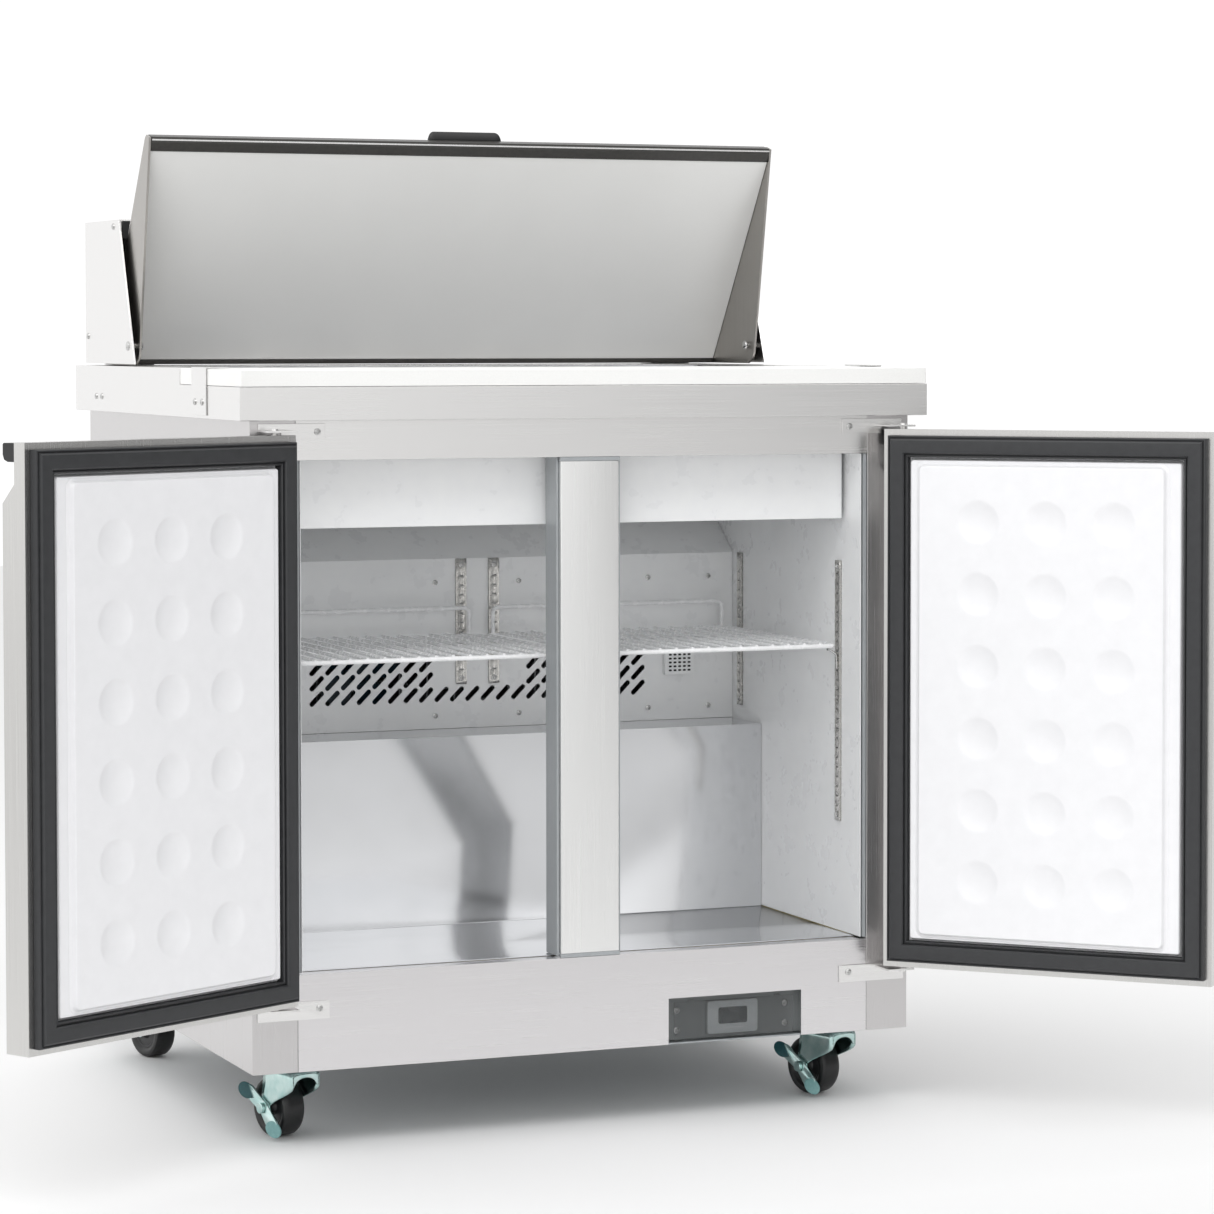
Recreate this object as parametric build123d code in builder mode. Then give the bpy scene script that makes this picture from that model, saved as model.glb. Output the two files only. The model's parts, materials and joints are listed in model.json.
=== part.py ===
from build123d import *
import os
from math import atan2, cos, degrees, hypot, radians, sin

os.makedirs("parts", exist_ok=True)

# A two-door refrigerated sandwich prep table. Millimetres, X to the right, Y to the back, Z up.
# The origin is on the floor, under the centre of the worktop. The doors and the lid stand open.

# Driving dimensions
top_width = 922.0
top_depth = 800.0
top_height = 960.0
skirt = 62.0
sheet = 1.5
board_depth = 268.0
board_step = 21.0

body_half = 443.0
body_front = -380.0
body_back = 392.0
base_height = 98.0
post_width = 58.0
panel_top = 218.0
rail_bottom = 849.0
mullion_half = 39.5

inner_half = 377.5
inner_back = 336.0
well_floor = 775.0
well_half = 403.0
well_depth = 358.0
hump_front = -60.0
hump_top = 470.0
air_wall = 40.0
shelf_level = 596.0

door_width = 438.0
door_bottom = 186.0
door_top = 881.0
door_thick = 37.0
door_sheet = 1.2
door_gap = 3.0
door_face = -396.0
pin_in = 20.0
pin_back = 16.0
pin_radius = 4.0
left_door_angle = 151.0
right_door_angle = 134.0
running_gap = 0.05

lid_reach = 284.0
lid_open_angle = 78.0
lid_thick = 22.0
lid_half = 446.0
pivot_y = -top_depth / 2 + board_depth + 270.0
pivot_z = top_height + 27.0
hood_half = 456.0
hood_top = top_height + 196.0
hood_foot = 3.0

wheel_radius = 37.5
wheel_half = 15.0
caster_trail = 30.0
caster_x = 368.0
caster_y = 300.0
caster_turn = 17.0

top_front = -top_depth / 2
top_back = top_depth / 2
top_half = top_width / 2
skirt_bottom = top_height - skirt
board_back = top_front + board_depth
well_front = board_back + 14.0
well_back = well_front + well_depth
post_inner = body_half - post_width
shelf_z = top_height - board_step
panel_high = shelf_z - 3.0
rail_high = skirt_bottom + 30.0


def block(x_limits, y_limits, z_limits, mode=Mode.ADD):
    # a rectangular block between three pairs of limits, given to the part being built
    limits = (x_limits, y_limits, z_limits)
    centre = tuple((low + high) / 2 for low, high in limits)
    size = [abs(high - low) for low, high in limits]
    with Locations(centre):
        Box(*size, mode=mode)


def rod(start, end, radius, mode=Mode.ADD):
    # a round bar from one point to another, given to the part being built
    run = Vector(*end) - Vector(*start)
    seat = Plane(origin=start, z_dir=run)
    with Locations(seat.location):
        Cylinder(radius, run.length, align=(Align.CENTER, Align.CENTER, Align.MIN), mode=mode)


def save(piece, name):
    piece.part.label = name
    export_step(piece.part, f"parts/{name}.step")


# outer shell
return_width = 20.0


def make_side_panel(side):
    # folded side sheet whose front return is the corner post and whose rear return holds the back
    with BuildPart() as panel:
        outer = side * body_half
        block((side * (body_half - sheet), outer), (body_front, body_back), (base_height, panel_high))
        block((side * post_inner, outer), (body_front, body_front + sheet), (base_height, rail_high))
        block((side * (body_half - return_width), outer), (body_back - sheet, body_back),
              (base_height, panel_high))
        block((side * post_inner, side * (post_inner + sheet)), (body_front, body_front + return_width),
              (base_height + 2.5, rail_high))
    return panel


for side, side_name in ((-1, "left"), (1, "right")):
    save(make_side_panel(side), f"side_panel_{side_name}")

louvre_columns = 4
louvre_rows = 14
louvre_length = 130.0
louvre_height = 8.0
louvre_level = 270.0
back_half = body_half - 5.0
with BuildPart() as back_panel:
    block((-back_half, back_half), (body_back - 2 * sheet - 0.2, body_back - sheet - 0.2),
          (base_height + 1, panel_high))
    with BuildSketch(Plane.XZ.offset(-body_back - 5)) as louvres:
        with Locations((0, louvre_level)):
            with GridLocations(louvre_length + 30, louvre_height + 10, louvre_columns, louvre_rows):
                SlotOverall(louvre_length, louvre_height)
    extrude(amount=20, mode=Mode.SUBTRACT)
save(back_panel, "back_panel")

caster_plate = 4.0
pan_half = body_half - 2.0
with BuildPart() as base_pan:
    block((-pan_half, pan_half), (body_front + 2, body_back - 4), (base_height, base_height + 2))
    block((-pan_half, pan_half), (body_back - 5.5, body_back - 4), (base_height, base_height + 30))
    for x in (-caster_x, caster_x):
        for y in (-caster_y, caster_y):
            block((x - 35, x + 35), (y - 45, y + 45), (base_height - caster_plate, base_height))
            rod((x, y, base_height - 9), (x, y, base_height - caster_plate), 24)
save(base_pan, "base_pan")

foam_top = panel_high - 1
foam_front = body_front + 46.0
foam_back = body_back - 6.0
foam_half = body_half - 3.0
foam_floor = 165.0
foam_wall = 45.0
wall_foam = inner_half + sheet
inner_foam = inner_half - 0.3
hump_foam_top = hump_top - 2.0
with BuildPart() as cabinet_foam:
    for side in (-1, 1):
        outer = side * foam_half
        block((side * wall_foam, outer), (foam_front, foam_back), (foam_floor, well_floor - 12))
        block((side * (well_half + 5), outer), (foam_front, foam_back), (well_floor - 12, foam_top))
    block((-wall_foam, wall_foam), (foam_front, hump_front + foam_wall + 2), (foam_floor, panel_top - 0.5))
    block((-inner_foam, inner_foam), (hump_front + 2, hump_front + foam_wall + 2),
          (foam_floor, hump_foam_top))
    block((-inner_foam, inner_foam), (hump_front + 2, foam_back), (hump_foam_top - foam_wall, hump_foam_top))
    block((-foam_half, foam_half), (inner_back + 2, foam_back), (hump_foam_top - foam_wall, foam_top))
save(cabinet_foam, "cabinet_foam")

box_half = 372.0
box_front = -330.0
ceiling = well_floor - 14.0
liner_front = body_front + 4.0
liner_low = panel_top + sheet + 0.3
with BuildPart() as inner_liner:
    for side in (-1, 1):
        wall = (side * inner_half, side * (inner_half + sheet - 0.2))
        block(wall, (liner_front, inner_back), (liner_low, ceiling))
        block(wall, (liner_front, board_back + 6), (liner_low, rail_bottom - 0.5))
    block((-inner_half, inner_half), (inner_back, inner_back + sheet), (hump_top + 1, ceiling))
    block((-inner_half, inner_half), (-100, inner_back), (ceiling + 0.3, ceiling + 0.3 + sheet))
    # insulated box under the cutting board
    block((-box_half, box_half), (box_front, well_front - 3), (well_floor - 12, shelf_z - 3))
save(inner_liner, "inner_liner")

# front frame
rail_half = post_inner - 0.3
with BuildPart() as top_rail:
    block((-rail_half, rail_half), (body_front, body_front + sheet), (rail_bottom, rail_high))
    block((-rail_half, rail_half), (body_front, box_front - 2), (rail_bottom, rail_bottom + sheet))
save(top_rail, "top_rail")

window_left = 107.0
window_right = 292.0
window_top = 157.0
with BuildPart() as lower_panel:
    block((-rail_half, rail_half), (body_front, body_front + sheet), (base_height, panel_top))
    block((-rail_half, rail_half), (body_front, body_front + 22), (panel_top - sheet, panel_top))
    block((window_left, window_right), (body_front - 1, body_front + 5), (base_height - 1, window_top),
          Mode.SUBTRACT)
save(lower_panel, "lower_panel")

cap_height = 5.0
with BuildPart() as mullion:
    block((-mullion_half, mullion_half), (body_front, body_front + 40),
          (panel_top + cap_height + 0.2, rail_bottom - cap_height - 0.2))
    fillet(mullion.edges().filter_by(Axis.Z).group_by(Axis.Y)[0], 2)
save(mullion, "mullion")

with BuildPart() as breaker_strips:
    for side in (-1, 1):
        block((side * (post_inner - 4.5), side * rail_half), (body_front + 2, body_front + 42),
              (panel_top + 2, rail_bottom - 0.3))
        block((side * (mullion_half + 0.3), side * (mullion_half + 3.5)), (body_front + 6, body_front + 44),
              (panel_top + 2, rail_bottom - 0.3))
    for low in (panel_top + 0.2, rail_bottom - cap_height):
        block((-mullion_half - 0.5, mullion_half + 0.5), (body_front - 0.8, body_front + 5.5),
              (low, low + cap_height - 0.2))
save(breaker_strips, "breaker_strips")

# worktop, board and pan well
lip = 15.0
with BuildPart() as worktop:
    block((-top_half, top_half), (board_back, top_back), (top_height - sheet, top_height))
    block((-well_half, well_half), (well_front, well_back), (top_height - 5, top_height + 5), Mode.SUBTRACT)
    block((-top_half, top_half), (top_front, board_back), (shelf_z - sheet, shelf_z))
    block((-top_half, top_half), (board_back, board_back + sheet), (shelf_z - sheet, top_height))
    block((-top_half, top_half), (top_front, top_front + sheet), (skirt_bottom, shelf_z))
    block((-top_half, top_half), (top_back - sheet, top_back), (skirt_bottom, top_height))
    for side in (-1, 1):
        outer = side * top_half
        inner = side * (top_half - sheet)
        block((outer, inner), (top_front, board_back), (skirt_bottom, shelf_z))
        block((outer, inner), (board_back, top_back), (skirt_bottom, top_height))
        block((outer, side * (top_half - lip)), (top_front, top_back), (skirt_bottom, skirt_bottom + sheet))
    block((-top_half, top_half), (top_front, top_front + lip), (skirt_bottom, skirt_bottom + sheet))
save(worktop, "worktop")

with BuildPart() as cutting_board:
    block((-top_half + 0.5, top_half - 0.5), (top_front + 0.3, board_back - 0.5),
          (shelf_z + 0.4, top_height - 0.2))
    fillet(cutting_board.edges().filter_by(Axis.Z), 3)
    chamfer(cutting_board.faces().sort_by(Axis.Z)[-1].edges(), 0.8)
save(cutting_board, "cutting_board")

clip_back = top_front + 206.0
clip_front = top_front + 142.0
clip_reach = 22.0
with BuildPart() as board_clips:
    for side in (-1, 1):
        outer = side * (top_half + 2.0)
        tip = side * (top_half - clip_reach)
        tongue = (top_height + 0.6, top_height + 2)
        block((outer, side * (top_half + 0.4)), (clip_front, clip_back), (skirt_bottom + 4, top_height + 2))
        block((outer, tip), (clip_front, clip_back), tongue)
        block((tip, side * (top_half - 8)), (clip_front - clip_reach, clip_front + 4), tongue)
save(board_clips, "board_clips")

with BuildPart() as pan_well:
    block((-well_half - 2, well_half + 2), (well_front - 2, well_back + 2),
          (well_floor, top_height - sheet - 0.2))
    block((-well_half - 0.5, well_half + 0.5), (well_front - 0.5, well_back + 0.5),
          (well_floor + sheet, top_height + 5), Mode.SUBTRACT)
save(pan_well, "pan_well")

bar_count = 4
bar_pitch = 2 * well_half / (bar_count + 1)
bar_half = 8.0
bar_height = 8.5
bar_top = top_height - 2.5
bar_run = (well_front - 0.3, well_back + 0.3)
with BuildPart() as pan_divider_bars:
    for index in range(bar_count):
        x = -well_half + bar_pitch * (index + 1)
        block((x - bar_half, x + bar_half), bar_run, (bar_top - sheet, bar_top))
        for flank in (x - bar_half, x + bar_half - sheet):
            block((flank, flank + sheet), bar_run, (bar_top - bar_height, bar_top))
save(pan_divider_bars, "pan_divider_bars")

# inside of the cabinet
floor_span = (-inner_half + 0.3, inner_half - 0.3)
with BuildPart() as interior_floor:
    block(floor_span, (body_front + 23, hump_front + sheet), (panel_top, panel_top + sheet))
    block(floor_span, (hump_front, hump_front + sheet), (panel_top, hump_top))
    block(floor_span, (hump_front, inner_back - 0.5), (hump_top - sheet, hump_top))
save(interior_floor, "interior_floor")

slot_columns = 8
slot_rows = 3
slot_bridge = 6
slot_pitch_x = 22.0
slot_pitch_z = 20.5
slot_level = 537.0
slot_length = 26.0
slot_groups = (-150.0, 158.0)
sensor_left = 272.0
sensor_low = 533.0
cover_top = 700.0
with BuildPart() as evaporator_cover:
    with BuildSketch(Plane.YZ.offset(-inner_half + 0.5)) as cover_profile:
        with BuildLine() as cover_line:
            Polyline((air_wall, hump_top + 0.3), (air_wall, cover_top), (air_wall + 78, ceiling - 0.3),
                     (air_wall + 80, ceiling - 0.3), (air_wall + 80, ceiling - 2.3),
                     (air_wall + sheet, cover_top - 1), (air_wall + sheet, hump_top + 0.3), close=True)
        make_face()
    extrude(amount=2 * inner_half - 1)
    with BuildSketch(Plane.XZ.offset(-air_wall - 6)) as air_slots:
        for group_x in slot_groups:
            with Locations((group_x, slot_level)):
                with GridLocations(slot_pitch_x, slot_pitch_z, slot_columns, slot_rows):
                    SlotOverall(slot_length, 7, rotation=45)
        # the lowest row runs on between the two groups
        with Locations((sum(slot_groups) / 2, slot_level - slot_pitch_z)):
            with GridLocations(slot_pitch_x, 1, slot_bridge, 1):
                SlotOverall(slot_length, 7, rotation=45)
    extrude(amount=12, mode=Mode.SUBTRACT)
    # cover of the air sensor, beside the slots
    block((sensor_left, sensor_left + 43), (air_wall - 9, air_wall - 0.3), (sensor_low, sensor_low + 33))
save(evaporator_cover, "evaporator_cover")

coil_half = 300.0
coil_fins = 16
coil_tube = 5.0
with BuildPart() as evaporator_coil:
    for index in range(coil_fins):
        x = -coil_half + index * 2 * coil_half / (coil_fins - 1)
        block((x - 1, x + 1), (190, 300), (hump_top + 15, cover_top - 10))
    for z in (510, 570, 630, 680):
        for y in (215, 275):
            rod((-coil_half - 5, y, z), (coil_half + 5, y, z), coil_tube)
save(evaporator_coil, "evaporator_coil")


def make_fan(centre, tip_radius, hub_length, blade_count):
    # hub on an axis along Y with pitched blades
    x, y, z = centre
    seat = Plane(origin=centre, x_dir=(1, 0, 0), z_dir=(0, 1, 0))
    with BuildPart(seat) as fan:
        Cylinder(tip_radius * 0.28, hub_length)
        with PolarLocations(tip_radius * 0.62, blade_count):
            Box(tip_radius * 0.74, tip_radius * 0.5, 2.0, rotation=(28, 0, 0))
    return fan


evaporator_fan_centre = (-150.0, air_wall + 60.0, 550.0)
condenser_fan_centre = (-190.0, 300.0, 265.0)
save(make_fan(evaporator_fan_centre, 62, 26, 5), "evaporator_fan")
save(make_fan(condenser_fan_centre, 105, 34, 5), "condenser_fan")

deck = base_height + 2.3
pump_x = 200.0
pump_y = 210.0
pump_radius = 88.0
pump_height = 150.0
fin_pitch = 20.0
fin_left = -320.0
fin_count = 14
with BuildPart() as condensing_unit:
    with Locations((pump_x, pump_y, deck)):
        Cylinder(pump_radius, pump_height, align=(Align.CENTER, Align.CENTER, Align.MIN))
    with Locations((pump_x, pump_y, deck + pump_height)):
        Sphere(pump_radius, arc_size1=0, arc_size2=90)
    for y in (pump_y - 70, pump_y + 70):
        block((pump_x - 110, pump_x + 110), (y - 12, y + 12), (deck, deck + 12))
    # condenser coil in front of the fan
    for index in range(fin_count):
        x = fin_left + index * fin_pitch
        block((x, x + 2), (60, 120), (deck, 400))
    for z in (140, 220, 300, 380):
        for y in (75, 105):
            rod((fin_left - 2, y, z), (fin_left + (fin_count - 1) * fin_pitch + 4, y, z), coil_tube)
save(condensing_unit, "condensing_unit")

pilaster_rows = [(side * inner_half, y, low, high) for side in (-1, 1)
                 for y, low, high in ((-311, 365, 707), (12, 490, 701))]
clip_shelf = (shelf_level - 6.5, shelf_level - 3.4)
with BuildPart() as pilasters:
    for x, y, low, high in pilaster_rows:
        side = 1 if x > 0 else -1
        block((x - side * 0.2, x - side * 2.7), (y - 7, y + 7), (low, high))
        # hooked clip that carries a shelf corner
        block((x - side * 0.2, x - side * 12), (y - 6, y + 6), clip_shelf)
        block((x - side * 0.2, x - side * 4.2), (y - 6, y + 6), (shelf_level - 26, shelf_level - 4))
    for x in (-23.5, 23.5):
        block((x - 7, x + 7), (air_wall - 2.9, air_wall - 0.3), (530, cover_top))
        block((x - 6, x + 6), (air_wall - 16, air_wall - 0.3), clip_shelf)
save(pilasters, "pilasters")

shelf_front = -326.0
shelf_back = 24.0
wire_count = 15
rib = 2.4
frame_wire = 3.2
stop_height = 38.0
cross_wire_y = -150.0


def make_shelf(low_x, high_x):
    # welded wire shelf: a round frame, ribs from front to back, one cross wire and a raised back stop
    with BuildPart() as shelf:
        corners = [(low_x, shelf_front), (high_x, shelf_front), (high_x, shelf_back), (low_x, shelf_back)]
        for start, end in zip(corners, corners[1:] + corners[:1]):
            rod((*start, shelf_level), (*end, shelf_level), frame_wire)
        for x, y in corners:
            with Locations((x, y, shelf_level)):
                Sphere(frame_wire)
        rod((low_x, cross_wire_y, shelf_level - 1.5), (high_x, cross_wire_y, shelf_level - 1.5), frame_wire)
        pitch = (high_x - low_x) / (wire_count + 1)
        for index in range(wire_count):
            x = low_x + pitch * (index + 1)
            rod((x, shelf_front, shelf_level + 1.6), (x, shelf_back, shelf_level + 1.6), rib)
        stop = shelf_level + stop_height
        for x in (low_x + 12, high_x - 12):
            rod((x, shelf_back, shelf_level), (x, shelf_back, stop), frame_wire)
            with Locations((x, shelf_back, stop)):
                Sphere(frame_wire)
        rod((low_x + 12, shelf_back, stop), (high_x - 12, shelf_back, stop), frame_wire)
    return shelf


save(make_shelf(-366, -5), "shelf_left")
save(make_shelf(5, 366), "shelf_right")

# doors and their hinge brackets
pin_x = body_half - 2 - pin_in
pin_y = door_face - pin_back
bracket_sheet = 2.5

tongue_width = (396.0, 433.0)
with BuildPart() as hinge_brackets:
    for side in (-1, 1):
        flange = (body_front - bracket_sheet, body_front - 0.2)
        across = [side * edge for edge in tongue_width]
        forward = (pin_y - 12, body_front - 0.2)
        # top: flange on the corner post above the door, tongue over the door, pin pointing down
        tongue_low = door_top + door_gap
        block((side * 348, side * 404), flange, (door_top - 6, tongue_low + 10))
        block(across, flange, (tongue_low, tongue_low + 10))
        block(across, forward, (tongue_low, tongue_low + bracket_sheet))
        rod((side * pin_x, pin_y, door_top - 15), (side * pin_x, pin_y, tongue_low + bracket_sheet + 2),
            pin_radius)
        # bottom: flange under the door, tongue below it, pin pointing up
        tongue_high = door_bottom - door_gap
        block((side * 345, side * 437), flange, (tongue_high - 20, tongue_high + 2))
        block(across, forward, (tongue_high - bracket_sheet, tongue_high))
        rod((side * pin_x, pin_y, tongue_high - bracket_sheet - 3), (side * pin_x, pin_y, door_bottom + 15),
            pin_radius)
save(hinge_brackets, "hinge_brackets")

handle_low = 859.0
recess_low = 812.0
recess_slope = 22.0
recess_back = -17.5
gasket_in = 8.0
gasket_width = 28.0
gasket_proud = 14.4
gasket_step = 4.0
rim_proud = 9.0
field_in = 56.0
liner_proud = 14.4
dent_in = 117.0
dent_pitch = 88.0
dent_rows = 6
dent_radius = 25.0
dent_depth = 4.0


def door_frame(side, angle):
    # plane at the hinge pin: x runs from the pin to the free edge, y towards the door's inner face
    turn = radians(angle)
    origin = (side * pin_x, pin_y, 0)
    return Plane(origin=origin, x_dir=(-side * cos(turn), -sin(turn), 0), z_dir=(0, 0, 1))


def make_door(side, angle, name):
    # every piece is drawn as (along, inward, up) from the pin and lies in the opened door's frame
    frame = door_frame(side, angle)
    flip = -side
    hinge_edge = -pin_in
    free_edge = door_width - pin_in
    inner = pin_back
    outer = pin_back - door_thick

    def slab(along, inward, up, mode=Mode.ADD):
        with BuildSketch(frame.offset(up[0])) as outline:
            with Locations(((along[0] + along[1]) / 2, flip * (inward[0] + inward[1]) / 2)):
                Rectangle(along[1] - along[0], inward[1] - inward[0])
        extrude(outline.sketch, amount=up[1] - up[0], mode=mode)

    def rail(points, along, mode=Mode.ADD):
        # a profile of (inward, up) points carried along the door's width
        section = Plane(origin=tuple(frame.from_local_coords(Vector(along[0], 0, 0))),
                        x_dir=frame.y_dir * flip, z_dir=frame.x_dir * flip)
        with BuildSketch(section) as profile:
            with BuildLine():
                Polyline(*points, close=True)
            make_face()
        extrude(profile.sketch, amount=flip * (along[1] - along[0]), mode=mode)

    def bore(up, mode=Mode.SUBTRACT):
        with BuildSketch(frame.offset(up[0])) as hole:
            Circle(pin_radius + running_gap)
        extrude(hole.sketch, amount=up[1] - up[0], mode=mode)

    back = inner + recess_back
    t = door_sheet
    with BuildPart() as pan:
        rail([(inner, door_bottom), (outer, door_bottom), (outer, recess_low),
              (back, recess_low + recess_slope), (back, door_top), (inner, door_top)],
             (hinge_edge, free_edge))
        rail([(inner - t, door_bottom + t), (outer + t, door_bottom + t), (outer + t, recess_low - 0.6),
              (back + t, recess_low + recess_slope - 0.6), (back + t, door_top - t),
              (inner - t, door_top - t)], (hinge_edge + t, free_edge - t), Mode.SUBTRACT)
        fold = 14
        slab((hinge_edge + fold, free_edge - fold), (inner - 3, inner + 3),
             (door_bottom + fold, door_top - fold), Mode.SUBTRACT)
        bore((door_bottom - 1, door_top + 1))
    save(pan, f"door_{name}_pan")

    with BuildPart() as liner:
        g = 0.3
        rail([(inner - t - g, door_bottom + t + g), (outer + t + g, door_bottom + t + g),
              (outer + t + g, recess_low - 1), (back + t + g, recess_low + recess_slope - 1),
              (back + t + g, door_top - t - g), (inner - t - g, door_top - t - g)],
             (hinge_edge + t + g, free_edge - t - g))
        rim = gasket_in + gasket_width + 0.5
        slab((hinge_edge + rim, free_edge - rim), (inner - t - g - 1, inner + rim_proud),
             (door_bottom + rim, door_top - rim))
        slab((hinge_edge + field_in, free_edge - field_in), (inner, inner + liner_proud),
             (door_bottom + field_in, door_top - field_in))
        # shallow round dents in three columns and six rows
        ball = (dent_radius * dent_radius + dent_depth * dent_depth) / (2 * dent_depth)
        middle = (hinge_edge + free_edge) / 2
        for column in (-dent_pitch, 0, dent_pitch):
            for row in range(dent_rows):
                up = door_bottom + dent_in + row * (door_top - door_bottom - 2 * dent_in) / (dent_rows - 1)
                over = inner + liner_proud + ball - dent_depth
                seat = frame.from_local_coords(Vector(middle + column, flip * over, up))
                with Locations(tuple(seat)):
                    Sphere(ball, mode=Mode.SUBTRACT)
        bore((door_bottom - 1, door_bottom + 16))
        bore((door_top - 16, door_top + 1))
    save(liner, f"door_{name}_liner")

    with BuildPart() as gasket:
        # two layers, so that the outer corner swings clear of the post
        for inset, low, high in ((gasket_in, 0.2, gasket_proud - gasket_step),
                                 (gasket_in + gasket_step, 1.0, gasket_proud)):
            slab((hinge_edge + inset, free_edge - inset), (inner + low, inner + high),
                 (door_bottom + inset, door_top - inset))
        inset = gasket_in + gasket_width
        slab((hinge_edge + inset, free_edge - inset), (inner - 5, inner + 30),
             (door_bottom + inset, door_top - inset), Mode.SUBTRACT)
    save(gasket, f"door_{name}_gasket")

    with BuildPart() as handle:
        rail([(outer, handle_low + 8), (outer + 2.4, handle_low + 2.4), (outer + 8, handle_low),
              (back - 0.3, handle_low), (back - 0.3, door_top - 0.5),
              (outer + 1.5, door_top - 0.5), (outer, door_top - 2)], (hinge_edge + 0.5, free_edge - 0.5))
        bore((handle_low - 1, door_top + 1))
    save(handle, f"door_{name}_handle")


make_door(-1, left_door_angle, "left")
make_door(1, right_door_angle, "right")

# fixed hood behind the lid
hood_front = pivot_y - 33.0
hood_back = top_back - 38.0
flange_y = pivot_y + 44.0
for side, side_name in ((-1, "left"), (1, "right")):
    with BuildPart() as hood_side:
        with BuildSketch(Plane.YZ.offset(side * hood_half - (2 if side > 0 else 0))):
            with BuildLine():
                Polyline((hood_front, top_height + hood_foot), (hood_back, top_height + hood_foot),
                         (hood_back, hood_top), (flange_y, hood_top), close=True)
            make_face()
        extrude(amount=2)
        rod((side * (hood_half - 4), pivot_y, pivot_z), (side * (hood_half + 4), pivot_y, pivot_z),
            pin_radius + 0.2, Mode.SUBTRACT)
    save(hood_side, f"hood_side_{side_name}")

cover_half = hood_half - 2.3
with BuildPart() as hood_cover:
    block((-cover_half, cover_half), (hood_back - sheet, hood_back), (top_height + hood_foot, hood_top))
    block((-cover_half, cover_half), (flange_y, hood_back), (hood_top - sheet, hood_top))
    block((-cover_half, cover_half), (flange_y, flange_y + sheet), (pivot_z + 147, hood_top))
    for x in (-400, 400):
        block((x - 30, x + 30), (hood_back - 40, hood_back),
              (top_height + 0.2, top_height + hood_foot + sheet))
save(hood_cover, "hood_cover")

with BuildPart() as hood_gasket:
    block((-cover_half + 2, cover_half - 2), (flange_y - 4.5, flange_y - 0.2), (pivot_z + 143, pivot_z + 167))
save(hood_gasket, "hood_gasket")

# lid, drawn closed in (forward, up) from its pivot
front_top = (lid_reach - 4, 4.0)
rear_top = (-52.0, 145.0)
slope = hypot(rear_top[0] - front_top[0], rear_top[1] - front_top[1])
along_f = (rear_top[0] - front_top[0]) / slope
along_h = (rear_top[1] - front_top[1]) / slope
opened = radians(lid_open_angle)
rest_floor = -25.4


def lid_plane(x):
    return Plane(origin=(x, pivot_y, pivot_z), x_dir=(0, -cos(opened), sin(opened)), z_dir=(-1, 0, 0))


def on_panel(s, t):
    # point s along the sloping panel from its front edge and t below its outer face
    return (front_top[0] + s * along_f - t * along_h, front_top[1] + s * along_h + t * along_f)


def rear_end(t):
    # distance along the panel at which depth t meets the level that just clears the worktop when open
    f0, h0 = on_panel(0, t)
    rise = along_f * sin(opened) + along_h * cos(opened)
    return (rest_floor - f0 * sin(opened) - h0 * cos(opened)) / rise


def make_lid_strip(points, half):
    with BuildPart() as strip:
        with BuildSketch(lid_plane(half)):
            with BuildLine():
                Polyline(*points, close=True)
            make_face()
        extrude(amount=2 * half)
    return strip


trim_length = 8.0
lip_low = -17.0
skin = make_lid_strip([on_panel(0, 0), on_panel(rear_end(0), 0), on_panel(rear_end(1.2), 1.2),
                       on_panel(0, 1.2)], lid_half)
save(skin, "lid_skin")
panel_half = lid_half - 3.3
panel = make_lid_strip([on_panel(trim_length, 1.5), on_panel(rear_end(1.5) - trim_length, 1.5),
                        on_panel(rear_end(lid_thick) - trim_length, lid_thick),
                        on_panel(trim_length, lid_thick)], panel_half)
save(panel, "lid_panel")

with BuildPart() as lid_edge_trims:
    with BuildSketch(lid_plane(panel_half)):
        with BuildLine():
            Polyline(on_panel(0, 1.4), on_panel(trim_length - 0.3, 1.4),
                     on_panel(trim_length - 0.3, lid_thick + 1),
                     (lid_reach - 7, lip_low - 2), (lid_reach, lip_low), (lid_reach, 1), close=True)
        make_face()
        with BuildLine():
            Polyline(on_panel(rear_end(1.5) - trim_length + 0.3, 1.4), on_panel(rear_end(1.4), 1.4),
                     on_panel(rear_end(lid_thick + 1), lid_thick + 1),
                     on_panel(rear_end(lid_thick + 1) - trim_length + 0.3, lid_thick + 1), close=True)
        make_face()
    extrude(amount=2 * panel_half)
save(lid_edge_trims, "lid_edge_trims")

for side, side_name in ((-1, "left"), (1, "right")):
    with BuildPart() as lid_side:
        with BuildSketch(lid_plane(side * lid_half if side > 0 else -lid_half + 3)):
            with BuildLine():
                Polyline((lid_reach - 1, lip_low), (lid_reach, -2), on_panel(0, 1.3),
                         on_panel(rear_end(1.3), 1.3), (-24.9, -5.4), (-12, -20.5), (-4, -22), close=True)
            make_face()
            Circle(pin_radius + running_gap, mode=Mode.SUBTRACT)
        extrude(amount=3)
    save(lid_side, f"lid_side_{side_name}")

grip_half = 53.0
with BuildPart() as lid_handle:
    with BuildSketch(lid_plane(grip_half)):
        with BuildLine():
            Polyline(on_panel(30, -0.3), on_panel(30, -3), on_panel(10, -6), on_panel(-7, -13),
                     on_panel(-11, -11), on_panel(-9, -6), on_panel(-3, -0.3), close=True)
        make_face()
    extrude(amount=2 * grip_half)
    fillet(lid_handle.edges().filter_by(Axis.X).sort_by(Axis.Z)[-2:], 1)
save(lid_handle, "lid_handle")

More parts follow.
